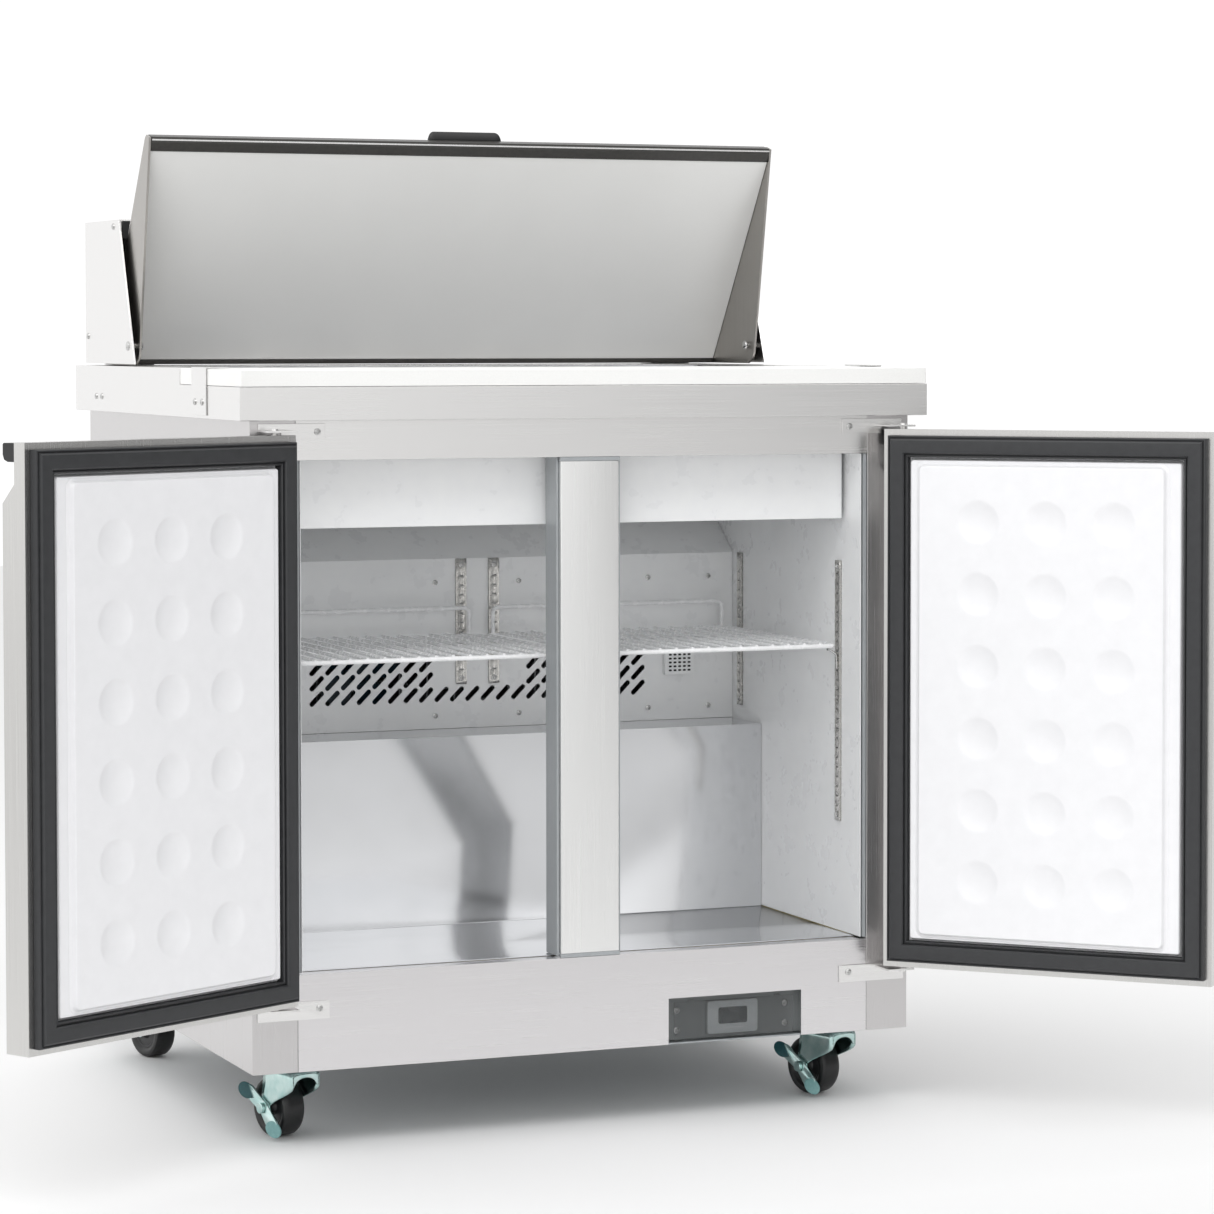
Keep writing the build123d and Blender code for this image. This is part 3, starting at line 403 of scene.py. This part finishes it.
def linerPatches(side):
    # height over the door's inner plane: two smooth steps by the distance inside a rounded rectangle,
    # less a spherical dent around each point of a lattice
    low = np.array([door["hingeEdge"], door["bottom"]])
    high = np.array([door["freeEdge"], door["top"]])
    near, far, under, over = liner["frame"]
    inner = (low + (near, under), high - (far, over))
    outer = (low + liner["rim"], high - liner["rim"])

    def stations(axis):
        # positions 0.8 mm apart at both steps and wider elsewhere
        ends = (low[axis] + liner["edge"], high[axis] - liner["edge"])
        edges = (outer[0][axis], inner[0][axis], inner[1][axis], outer[1][axis])
        fine = [np.arange(edge - 6.4, edge + 6.5, 0.8) for edge in edges]
        coarse = np.arange(ends[0], ends[1], liner["grid"])
        near = np.min([abs(coarse - edge) for edge in edges], axis=0) < 7
        return np.unique(np.round(np.concatenate([ends, coarse[~near], *fine]), 3))

    a, z = np.meshgrid(stations(0), stations(1), indexing="ij")
    rim = insideRectangle(a, z, *outer, 6)
    deep = insideRectangle(a, z, *inner, liner["corner"])
    height = -0.6 + (liner["rise"] + 0.6) * smoothStep(rim / 4) + liner["field"] * smoothStep(deep / 3.5)
    height -= 1.0 * np.exp(-((deep + 3.0) / 1.4) ** 2)
    middle = (low[0] + high[0]) / 2 + liner["middle"]
    for column in liner["columns"]:
        for level in np.linspace(low[1] + liner["first"], high[1] - liner["first"], liner["rows"]):
            away = np.hypot(a - middle - column, z - level) / liner["dent"]
            height -= liner["depth"] * np.clip(1 - away ** 2, 0, 1) ** 0.9
    front = np.stack([a, door["inner"] + height, z], -1)
    # the right door mirrors the left one, so its rows run the other way to keep the faces turned inwards
    return [patch(onDoor(side, front if side < 0 else front[::-1]))]


gasket = {"inset": 8, "profile": [
    (0, 0.3), (0.1, 9.0), (0.8, 10.4), (2.2, 10.8), (3.2, 9.6), (3.8, 9.6), (4.6, 12.6), (6.2, 14.0), (9, 14.4),
    (19, 14.4), (21.8, 13.8), (23.2, 12.2), (23.8, 8.4), (24.6, 8.4), (25.2, 10.6), (26.4, 11.2), (27.6, 10.0),
    (28, 0.3)]}


def gasketPatches(side):
    # the profile (in from the edge, height) carried round a rectangle with mitred corners
    across, height = np.array(gasket["profile"]).T
    i = gasket["inset"]
    low = np.array([door["hingeEdge"] + i, door["bottom"] + i])
    high = np.array([door["freeEdge"] - i, door["top"] - i])
    signs = np.array([(0, 0), (1, 0), (1, 1), (0, 1)])
    loop = np.where(signs[None] == 0, low + across[:, None, None], high - across[:, None, None])
    inward = np.broadcast_to(door["inner"] + height[:, None], loop.shape[:2])
    points = np.stack([loop[..., 0], inward, loop[..., 1]], -1)
    return [patch(onDoor(side, points), closeRows=True, closeColumns=True)]


for side, sideName in ((-1, "left"), (1, "right")):
    body = f"door_{sideName}"
    panel = makePiece(f"{body}_linerFormed", linerPatches(side), styreneWhite, body, (f"{body}_liner",),
                      60, openSheet=True)
    wall = panel.modifiers.new("formedSheet", "SOLIDIFY")
    wall.thickness = 1.6 * mm
    wall.offset = -1
    makePiece(f"{body}_gasketSoft", gasketPatches(side), gasketGrey, body, (f"{body}_gasket",), 30)
    edged(f"{body}_pan", steelDoor, 1.0)
    edged(f"{body}_handle", absBlack, 1.0)
print("prep table: doors made")

# camera, light and floor
camera = {"place": (-1.8366, -5.0718, 1.0047), "yaw": -22.95, "pitch": -2.51, "lens": 118.99,
          "shift": (-0.0766, -0.0811), "sensor": 36}
lens = bpy.data.cameras.new("viewCamera")
lens.sensor_width = camera["sensor"]
lens.lens = camera["lens"]
lens.shift_x, lens.shift_y = camera["shift"]
viewer = bpy.data.objects.new("viewCamera", lens)
viewer.location = camera["place"]
viewer.rotation_euler = (math.radians(90 + camera["pitch"]), 0, math.radians(camera["yaw"]))
scene.collection.objects.link(viewer)
scene.camera = viewer

scene.view_settings.view_transform = "Standard"
# the room is white, with a dark flag in front to the right, whose edge lies at this bearing from -Y
studio = {"bearing": 22, "flag": (-0.09, 0.13), "front": (1.16, 0.30), "behind": 1.06, "lights": [
    # name, place, aimed at, size, watts
    ("keySoftbox", (-1.9, -2.9, 4.4), (0, -0.3, 0.5), 2.2, 46),
    ("fillSoftbox", (2.2, -2.6, 4.2), (0, -0.3, 0.5), 2.2, 30),
    ("topSoftbox", (0, 0.3, 3.9), (0, 0, 0.9), 2.4, 12)]}
world = bpy.data.worlds.new("studioWhite")
world.use_nodes = True
world.node_tree.nodes["Background"].inputs["Color"].default_value = (1, 1, 1, 1)
bearing = math.radians(studio["bearing"])
gaze = addNode(world, "ShaderNodeTexCoord")
flagSide = (math.cos(bearing), math.sin(bearing), 0)
past = addNode(world, "ShaderNodeVectorMath", {"operation": "DOT_PRODUCT", 1: flagSide},
               {0: (gaze, "Generated")})
flag = addNode(world, "ShaderNodeMapRange", {"From Min": studio["flag"][0], "From Max": studio["flag"][1],
                                             "To Min": studio["front"][0], "To Max": studio["front"][1]},
               {"Value": (past, "Value")})
backward = addNode(world, "ShaderNodeSeparateXYZ", {}, {"Vector": (gaze, "Generated")})
behind = addNode(world, "ShaderNodeMapRange", {"From Min": -0.1, "From Max": 0.45, "To Min": 0.0,
                                               "To Max": studio["behind"]}, {"Value": (backward, "Y")})
glow = addNode(world, "ShaderNodeMath", {"operation": "MAXIMUM"}, {0: (flag, "Result"), 1: (behind, "Result")})
wire(world, glow, "Value", world.node_tree.nodes["Background"], "Strength")
scene.world = world
for name, place, target, size, watts in studio["lights"]:
    lamp = bpy.data.lights.new(name, "AREA")
    lamp.size = size
    lamp.energy = watts
    stand = bpy.data.objects.new(name, lamp)
    stand.location = place
    aim = np.array(target, float) - np.array(place, float)
    stand.rotation_euler = (math.acos(-aim[2] / np.linalg.norm(aim)), 0, math.atan2(-aim[0], aim[1]))
    scene.collection.objects.link(stand)

# matt paper that is a little greyer in front of the table
floorMaterial, floorShader = newMaterial("studioPaperWhite", "#F7F7F7", {"IOR": 1.45, "Roughness": 0.85})
floorPlace = addNode(floorMaterial, "ShaderNodeTexCoord")
floorAxes = addNode(floorMaterial, "ShaderNodeSeparateXYZ", {}, {"Vector": (floorPlace, "Object")})
floorShare = addNode(floorMaterial, "ShaderNodeMapRange", {"From Min": -1.9, "From Max": -0.9},
                     {"Value": (floorAxes, "Y")})
floorTint = addNode(floorMaterial, "ShaderNodeValToRGB", {}, {"Fac": (floorShare, "Result")})
for stop, color in zip(floorTint.color_ramp.elements, ("#D6D6D6", "#F7F7F7")):
    stop.color = hexToLinear(color)
wire(floorMaterial, floorTint, "Color", floorShader, "Base Color")
floorMesh = bpy.data.meshes.new("studioFloor")
floorMesh.from_pydata([(-12, -12, 0), (12, -12, 0), (12, 12, 0), (-12, 12, 0)], [], [(0, 1, 2, 3)])
floorMesh.materials.append(floorMaterial)
floor = bpy.data.objects.new("studioFloor", floorMesh)
scene.collection.objects.link(floor)
print("prep table: camera and studio made")

# sheet metal and plain CAD parts
for name, material, width in (
        ("worktop", steelX, 0.9), ("cutting_board", boardWhite, 0.8), ("top_rail", steelX, 0.5),
        ("lower_panel", steelPanel, 0.5), ("mullion", steelZ, 0.4), ("side_panel_left", steelPost, 0.8),
        ("side_panel_right", steelPost, 0.8), ("hood_side_left", steelX, 0.6),
        ("hood_side_right", steelX, 0.6), ("hood_cover", steelX, 0.6), ("hood_gasket", gasketBlack, 1.5),
        ("lid_skin", steelX, 0.5), ("lid_panel", lidInner, 0.6), ("lid_side_left", lidSidePaintedShade, 0.7),
        ("lid_side_right", lidSidePaintedShade, 0.7), ("lid_edge_trims", trimBlack, 1.0),
        ("hinge_brackets", steelX, 0.6), ("board_clips", steelX, 0.4), ("breaker_strips", stripGrey, 0.5),
        ("controller_panel", controlGrey, 0.4), ("controller_cover", smoked, 0.4),
        ("pan_divider_bars", steelY, 0.4), ("pan_well", steelBright, 0.6), ("interior_floor", steelBright, 0.5),
        ("inner_liner", enamelWhite, 0.8)):
    edged(name, material, width)
paint(galvanised, "back_panel", "base_pan")
paint(enamelWhite, "evaporator_cover")
paint(foamYellow, "cabinet_foam")
paint(finAluminium, "evaporator_coil")
paint(blackEnamelAndSlotShade, "condensing_unit")
for number in (1, 2, 3, 4):
    paint(bezelGrey, f"controller_button_{number}")
print("prep table: sheet metal finished")

# handle on the lid's front edge: the closed lid lies level, so points are (forward, up) from its pivot
lid = {"pivotY": 138, "pivotZ": 987, "open": 78, "half": 442, "reach": 284, "slopeEnd": (-52, 145), "lip": -19}


def onLid(x, forward, up):
    # closed-lid coordinates turned by the opening angle about the pivot, to the shared frame
    turn = math.radians(lid["open"])
    y = lid["pivotY"] - forward * math.cos(turn) + up * math.sin(turn)
    z = lid["pivotZ"] + forward * math.sin(turn) + up * math.cos(turn)
    return np.stack(np.broadcast_arrays(x, y, z), -1)


grip = {"half": 53, "round": 9, "profile": [
    (-3, 0.4), (8, 0.4), (20, 0.4), (30, 0.4), (30, 2.2), (27, 3.4), (10, 5.6), (-2, 10.6), (-7, 12.8), (-10, 12),
    (-11, 9.6), (-9, 6)]}
slopeRun = np.array([lid["slopeEnd"][0] - lid["reach"] + 4, lid["slopeEnd"][1] - 4], float)
slopeRun /= np.linalg.norm(slopeRun)
# the profile (s along the panel, t above it) shrinks towards both ends like a circle of the given radius
s, t = np.array(grip["profile"]).T
span = grip["half"] * np.sin(np.radians(np.linspace(-90, 90, 41)))
shrink = np.sqrt(1 - np.clip((abs(span) - grip["half"] + grip["round"]) / grip["round"], 0, 0.995) ** 2)[:, None]
along, above = 10 + (s - 10) * (0.4 + 0.6 * shrink), 0.4 + (t - 0.4) * shrink
forward = lid["reach"] - 4 + along * slopeRun[0] + above * slopeRun[1]
up = 4 + along * slopeRun[1] - above * slopeRun[0]
moulding = patch(onLid(span[:, None], forward, up), closeColumns=True, caps=True)
makePiece("lid_handle_moulded", [moulding], absBlack, "lid", ("lid_handle",), 50)
# edge of the lid's folded sheet between its two dark trims, in the lightest steel tone, which paints a highlight
# on it
edge = lid["reach"] - np.array([2.6, 4.6, 4.6, 2.6])
low = lid["lip"] + np.array([-0.3, -0.5, 1.5, 1.5])
strip = onLid(np.array([[-lid["half"]], [lid["half"]]]), edge[None], low[None])
makePiece("lid_lip_strip", [patch(strip, closeColumns=True, caps=True)], steelZ, "lid", ())

# wire shelves
shelf = {"level": 596, "front": -326, "back": 24, "frame": 3.0, "rib": 2.3, "ribs": 15, "cross": -150,
         "stop": 38, "inset": 12, "corner": 14}


def shelfPatches(low, high):
    # a closed frame, ribs from front to back, one cross wire below them and a stop with bent ends
    z, front, back = shelf["level"], shelf["front"], shelf["back"]
    edge = roundedRectangle(high - low, back - front, shelf["corner"])
    flat = edge + ((low + high) / 2, (front + back) / 2)
    loop = np.column_stack([flat, np.full(len(edge), z)])
    parts = [tube(loop, shelf["frame"], (0, 0, 1), closed=True)]
    for x in np.linspace(low, high, shelf["ribs"] + 2)[1:-1]:
        parts.append(tube([(x, front, z + 2.6), (x, back, z + 2.6)], shelf["rib"], (0, 0, 1), sides=8))
    parts.append(tube([(low, shelf["cross"], z - 2), (high, shelf["cross"], z - 2)], shelf["frame"], (0, 0, 1)))
    left, right, top = low + shelf["inset"], high - shelf["inset"], z + shelf["stop"]
    bend = roundedPath([(left, back, z), (left, back, top), (right, back, top), (right, back, z)], 9)
    parts.append(tube(bend, shelf["frame"] - 0.2, (0, 1, 0)))
    return parts


for sideName, low, high in (("left", -366, -5), ("right", 5, 366)):
    makePiece(f"shelf_{sideName}_wire", shelfPatches(low, high), wireWhite, "cabinet", (f"shelf_{sideName}",))

# slotted shelf standards with their clips
standard = {"width": 14, "depth": 2.4, "slot": (2.0, 6.0), "pitch": 12.7, "sheet": 1.0}


def standardPatches(origin, outward, low, high):
    # a channel: rows up the strip at every slot edge, columns across it; the slot cells stay open
    count = int((high - low - 8) / standard["pitch"])
    levels = [low]
    for index in range(count):
        slotLow = low + 6 + index * standard["pitch"]
        levels += [slotLow, slotLow + standard["slot"][0]]
    levels.append(high)
    half, slotHalf, depth = standard["width"] / 2, standard["slot"][1] / 2, standard["depth"]
    u = np.array([-half, -half, -slotHalf, slotHalf, half, half])
    v = np.array([0, depth, depth, depth, depth, 0])
    out = np.array(outward, float)
    sideways = np.cross((0, 0, 1), out)
    levels = np.array(levels)
    points = np.asarray(origin, float) + u[None, :, None] * sideways + v[None, :, None] * out
    points = np.broadcast_to(points, (len(levels), 6, 3)).copy()
    points[..., 2] = levels[:, None]
    flat, faces = patch(points)
    columns = 5
    kept = [face for k, face in enumerate(faces) if not (k % columns == 2 and (k // columns) % 2 == 1)]
    return flat, kept


strips = []
for side in (-1, 1):
    for y, low, high in ((-311, 365, 707), (12, 490, 701)):
        strips.append(standardPatches((side * 377.3, y, 0), (-side, 0, 0), low, high))
for x in (-23.5, 23.5):
    strips.append(standardPatches((x, 39.7, 0), (0, -1, 0), 530, 700))
standards = makePiece("pilasters_slotted", strips, nickelPlate, "cabinet", ("pilasters",))
gauge = standards.modifiers.new("sheetGauge", "SOLIDIFY")
gauge.thickness = standard["sheet"] * mm
gauge.offset = 0
clipParts = []
for side in (-1, 1):
    for y in (-311, 12):
        x = side * 377
        route = ((3, 566), (4, 584), (14, 590.4), (17, 590.4))
        bend = roundedPath([(x - side * out, y, z) for out, z in route], 3)
        clipParts.append(tube(bend, 1.6, (0, 1, 0), sides=8))
for x in (-23.5, 23.5):
    bend = roundedPath([(x, 37, 566), (x, 36, 584), (x, 26, 590.4), (x, 22, 590.4)], 3)
    clipParts.append(tube(bend, 1.6, (1, 0, 0), sides=8))
makePiece("shelf_clips_bent", clipParts, screwSteel, "cabinet", ())
print("prep table: shelves made")

# pan head screws with a cross recess
screw = {"radius": 4.2, "height": 2.2, "recess": 0.55, "reach": 2.3, "depth": 1.1}


def screwPatch(place, normal, radius=4.2, height=2.2):
    # dome height h(r) = height * sqrt(1 - (r / radius)^2 * 0.8), less a cross where |x| or |y| is small
    r = radius * np.sqrt(np.linspace(0.0004, 1, 11))
    angle = np.linspace(0, 2 * np.pi, 40, endpoint=False)
    r, angle = np.meshgrid(r, angle, indexing="ij")
    x, y = r * np.cos(angle), r * np.sin(angle)
    narrow = np.minimum(abs(x), abs(y))
    cross = (1 - smoothStep((narrow - screw["recess"]) / 0.35)) * (1 - smoothStep((r - screw["reach"]) / 0.5))
    z = height * np.sqrt(1 - 0.8 * (r / radius) ** 2) - screw["depth"] * cross
    rows = np.stack([x, y, z], -1)
    foot = rows[-1:].copy()
    foot[..., 2] = 0
    along = (0, 0, 1) if abs(normal[2]) < 0.5 else (1, 0, 0)
    return patch(placed(np.concatenate([rows, foot]), place, along, normal), closeColumns=True, caps=True)


def boltPatch(start, end, radius, headRadius, headHeight):
    # a shank with a low dome at its far end, turned about its own line
    run = np.subtract(end, start)
    length = np.linalg.norm(run)
    dome = [(headRadius * math.cos(t), length + headHeight * math.sin(t)) for t in np.linspace(0, 1.5, 7)]
    profile = [(radius, 0), (radius, length), (headRadius, length)] + dome
    return patch(placed(turned(profile, 28), start, (0, 0, 1), run), closeColumns=True, caps=True)


heads = []
for side in (-1, 1):
    out = (side, 0, 0)
    for x, y, z in ((461, 257, 918.5), (461, 287, 918.5), (463.1, -242, 918.5), (463.1, -210, 918.5),
                    (456.1, 210, 1147), (456.1, 348, 1000)):
        heads.append(screwPatch((side * x, y, z), out))
    for z in (884, 176):
        heads.append(screwPatch((side * 358, -382.6, z), (0, -1, 0)))
    heads.append(boltPatch((side * 439, 138, 987), (side * 456.2, 138, 987), 3.9, 6.2, 2.6))
    heads.append(boltPatch((side * 456.2, 138, 987), (side * 438.5, 138, 987), 3.9, 6.5, 3.0))
for side in (-1, 1):
    for y, low, high in ((-311, 365, 707), (12, 490, 701)):
        for z in (low + 8, high - 8):
            heads.append(screwPatch((side * 374.8, y, z), (-side, 0, 0), 3.6, 1.8))
for x in (-23.5, 23.5):
    for z in (538, 692):
        heads.append(screwPatch((x, 37.2, z), (0, -1, 0), 3.6, 1.8))
for x in (124, 275):
    for z in (113, 139):
        heads.append(screwPatch((x, -365.1, z), (0, -1, 0), 4.4, 2.4))
makePiece("fasteners_heads", heads, screwSteel, "cabinet", ("fasteners",), 40)
print("prep table: screws made")

# casters
caster = {"x": 368, "y": 300, "trail": 30, "wheel": 37.5, "leg": 19.5, "sheet": 3, "top": 86.5, "crown": 70,
          "front": -30, "back": 32, "boss": 9, "bend": 5, "turn": 17}


def onCaster(points, x, y):
    # points about a swivel's axis, turned to the way the caster points and moved to its place
    turn = math.radians(caster["turn"])
    ahead = np.array([[math.cos(turn), math.sin(turn), 0], [-math.sin(turn), math.cos(turn), 0], [0, 0, 1]])
    return np.array([x, y, 0]) + points @ ahead


def forkPatches():
    # the sheet's middle surface: s runs up one leg, over the crown and down the other, v from front to back.
    # below the axle both edges follow a circle about it; above it they lean out to the crown's edges
    hub, wheel, boss = caster["trail"], caster["wheel"], caster["boss"]
    knee = caster["top"] - caster["bend"]
    foot = wheel - boss * np.cos(np.radians(np.linspace(4, 90, 8)))
    z = np.concatenate([foot, np.linspace(wheel, knee, 16)[1:]])
    side = np.full(len(z), -caster["leg"])
    bend = arc((-caster["leg"] + caster["bend"], knee), caster["bend"], 180, 90, 6)[1:]
    s = np.concatenate([np.column_stack([side, z]), bend])
    s = np.concatenate([s, s[::-1] * (-1, 1)])
    level = s[:, 1]
    circle = np.sqrt(np.clip(boss ** 2 - (wheel - level) ** 2, 0, None))
    lean = smoothStep((level - wheel) / (caster["crown"] - wheel))
    front = np.where(level < wheel, hub - circle, hub - boss + (caster["front"] - hub + boss) * lean)
    back = np.where(level < wheel, hub + circle,
                    hub + boss + (caster["back"] - hub - boss) * (level - wheel) / (caster["top"] - wheel))
    v = np.linspace(0, 1, 9)
    points = np.stack([np.broadcast_to(s[:, :1], (len(s), 9)), front[:, None] + (back - front)[:, None] * v,
                       np.broadcast_to(level[:, None], (len(s), 9))], -1)
    return points


def crownPatch():
    # front wall with an arched lower edge: z from the arch to the crown
    x = np.linspace(-caster["leg"], caster["leg"], 25)
    arch = caster["crown"] + 11 * np.sqrt(np.clip(1 - (x / (caster["leg"] - 3)) ** 2, 0, 1))
    share = np.linspace(0, 1, 5)[:, None]
    z = arch + (caster["top"] - arch) * share
    return np.stack([np.broadcast_to(x, z.shape), np.full(z.shape, caster["front"] + 1.5), z], -1)


tyreProfile = [(25.2, 12), (27, 13.6), (29, 14.5), (32.5, 15), (35.4, 14.2), (36.9, 12), (37.4, 8), (37.5, 3)]
hubProfile = [(4.1, 17.3), (8.6, 17.3), (9.8, 16.6), (10.4, 12.4), (12, 10.9), (21.6, 10.6), (23.4, 12.2),
              (25.2, 12.2)]
padOutline = np.column_stack([12.5 * np.cos(np.linspace(0, 2 * np.pi, 36, endpoint=False)),
                              8.8 * np.sin(np.linspace(0, 2 * np.pi, 36, endpoint=False))])
rocker = np.array([(-24, -30), (-34, -24), (-30, -14), (-10, 6), (-2, 10), (24, 24), (34, 26), (40, 18),
                   (36, 10), (8, -4), (2, -9), (-16, -30)], float)
places = [(x, y) for y in (-caster["y"], caster["y"]) for x in (-caster["x"], caster["x"])]
hub = (0, caster["trail"], caster["wheel"])
for number, (x, y) in enumerate(places, start=1):
    body = f"caster_fork_{number}"
    sheets = [patch(onCaster(forkPatches(), x, y)), patch(onCaster(crownPatch(), x, y))]
    fork = makePiece(f"{body}_sheet", sheets, zincPlate, body, (body,), 40)
    gauge = fork.modifiers.new("sheetGauge", "SOLIDIFY")
    gauge.thickness = caster["sheet"] * mm
    gauge.offset = 0
    race = turned([(0.5, 86), (19, 86), (22, 87), (22.6, 87.8), (22, 88.5), (0.5, 88.5)], 40) + (x, y, 0)
    far = 30 if y < 0 else 26
    bolt = [(0.4, -far), (5.6, -far), (6.8, -far + 0.8), (6.8, -far + 4.2), (4, -far + 4.4), (4, 21), (6.8, 21.2),
            (6.8, 24.6), (5.6, 25.4), (0.4, 25.4)]
    axle = onCaster(placed(turned(bolt, 24), hub, (0, 0, 1), (1, 0, 0)), x, y)
    parts = [patch(part, closeColumns=True, caps=True) for part in (race, axle)]
    makePiece(f"{body}_axle", parts, zincPlate, body, (), 30)
    wheelBody = f"caster_wheel_{number}"
    for name, profile, material in (("tyre", tyreProfile, tyreBlack), ("hub", hubProfile, hubBlack)):
        loop = profile + [(radius, -along) for radius, along in reversed(profile)]
        points = onCaster(placed(turned(loop, 64), hub, (0, 0, 1), (1, 0, 0)), x, y)
        replaced = (wheelBody,) if name == "tyre" else ()
        makePiece(f"{wheelBody}_{name}", [patch(points, closeRows=True, closeColumns=True)], material, wheelBody,
                  replaced, 40)
for number, (x, y) in enumerate(places[:2], start=1):
    body = f"brake_pedal_{number}"
    plate = placed(slabOf(rocker, 0, 3.5, 0.8), (-25, hub[1], hub[2]), (0, 1, 0), (1, 0, 0))
    lever = patch(onCaster(plate, x, y), closeColumns=True, caps=True)
    makePiece(f"{body}_plate", [lever], zincPlate, body, (body,))
    for name, ahead, up, material in (("upper", 33, 18, padTeal), ("lower", -28, -23, padPale)):
        pad = placed(slabOf(padOutline, -1.9, 1.9, 1.2, 5), (-27, hub[1] + ahead, hub[2] + up),
                     (-0.2, 0.75, 0.62), (-0.75, -0.6, 0.25))
        plateOfPad = patch(onCaster(pad, x, y), closeColumns=True, caps=True)
        makePiece(f"{body}_pad_{name}", [plateOfPad], material, body, (), 40)
print("prep table: casters made")

# temperature controller behind its smoked flap
control = {"x": 200, "z": 127, "plate": -365, "width": 70, "height": 42}


def frontSlab(outline, depth, rise, centre=(control["x"], control["z"]), rounding=0.5):
    # a plate that stands this far out of the controller's plate, its outline in X and Z
    slab = slabOf(np.asarray(outline, float), 0, rise, rounding)
    points = placed(slab, (centre[0], control["plate"] - depth, centre[1]), (1, 0, 0), (0, -1, 0))
    return patch(points, closeColumns=True, caps=True)


bezel = roundedRectangle(control["width"], control["height"], 4)
makePiece("controller_bezel", [frontSlab(bezel, 4.1, 0.9)], bezelGrey, "cabinet", ())
screen = frontSlab(roundedRectangle(40, 21, 2.5), 5.1, 0.5, (control["x"], control["z"] + 2))
makePiece("controller_display", [screen], displayDark, "cabinet", ())
marks = []
for side in (-1, 1):
    for up in (-9, 3):
        centre = (control["x"] + side * 25, control["z"] + up + 6)
        ring = arc((0, 0), 2.6, 20, 340, 14)
        depth = np.full(len(ring), control["plate"] - 5.3)
        path = np.column_stack([ring[:, 0] + centre[0], depth, ring[:, 1] + centre[1]])
        marks.append(tube(path, 0.35, (0, 1, 0), sides=6))
marks.append(frontSlab(roundedRectangle(34, 1.6, 0.6), 5.05, 0.3, (control["x"], control["z"] - 14), 0.1))
makePiece("controller_marks", marks, inkWhite, "cabinet", ())
print("prep table: controller made")

# fans, with blades that turn and thin out towards their tips
def fanPatches(centre, tip, depth, blades):
    parts = []
    hubR = 0.28 * tip
    half = depth / 2
    shell = [(0.4, half), (hubR - 3, half), (hubR, half - 3), (hubR, -half), (0.4, -half)]
    parts.append(patch(placed(turned(shell, 36), centre, (1, 0, 0), (0, -1, 0)), closeColumns=True, caps=True))
    # each blade: radius r, sweep w across the blade; pitch falls from 38 to 22 degrees along r
    r, w = np.meshgrid(np.linspace(hubR - 1, tip * 0.98, 12), np.linspace(-1, 1, 9), indexing="ij")
    share = (r - hubR) / (tip - hubR)
    pitch = np.radians(38 - 16 * share)
    chord = tip * (0.22 + 0.14 * np.sin(np.pi * np.clip(share, 0, 1) * 0.8))
    lean = 0.25 * share
    for blade in range(blades):
        turn = 2 * np.pi * blade / blades + lean + w * chord * np.cos(pitch) / r
        deep = w * chord * np.sin(pitch) * 0.55
        front = np.stack([r * np.cos(turn), r * np.sin(turn), deep + 0.9], -1)
        back = np.stack([r * np.cos(turn), r * np.sin(turn), deep - 0.9], -1)
        ring = np.concatenate([front, back[:, ::-1]], 1)
        parts.append(patch(placed(ring, centre, (1, 0, 0), (0, -1, 0)), closeColumns=True, caps=True))
    return parts


for name, centre, tip, depth in (("evaporator_fan", (-150, 100, 550), 62, 26),
                                 ("condenser_fan", (-190, 300, 265), 105, 34)):
    makePiece(f"{name}_moulded", fanPatches(centre, tip, depth, 5), fanBlue, name, (name,), 40)

# cover of the air sensor and the rivets beside it. Its slots are black plates on the cover, painted shade where
# the dark inside of open holes would show
sensorSlotShadeParts = []
for row in range(5):
    for column in range(5):
        outline = roundedRectangle(4.4, 2.6, 1.2, 4)
        corner = (279.5 + column * 7, 30.8, 539 + row * 5.4)
        points = placed(slabOf(outline, 0, 0.5, 0.1), corner, (1, 0, 0), (0, -1, 0))
        sensorSlotShadeParts.append(patch(points, closeColumns=True, caps=True))
makePiece("evaporator_sensor_slots_painted_shade", sensorSlotShadeParts, blackEnamelAndSlotShade, "cabinet", ())
rivets = [screwPatch((x, 39.7, z), (0, -1, 0), 3.6, 1.4) for x in (-330, -60, 60, 250, 340) for z in (488, 668)]
makePiece("evaporator_rivets", rivets, screwSteel, "cabinet", ())
print("prep table: inside details made")
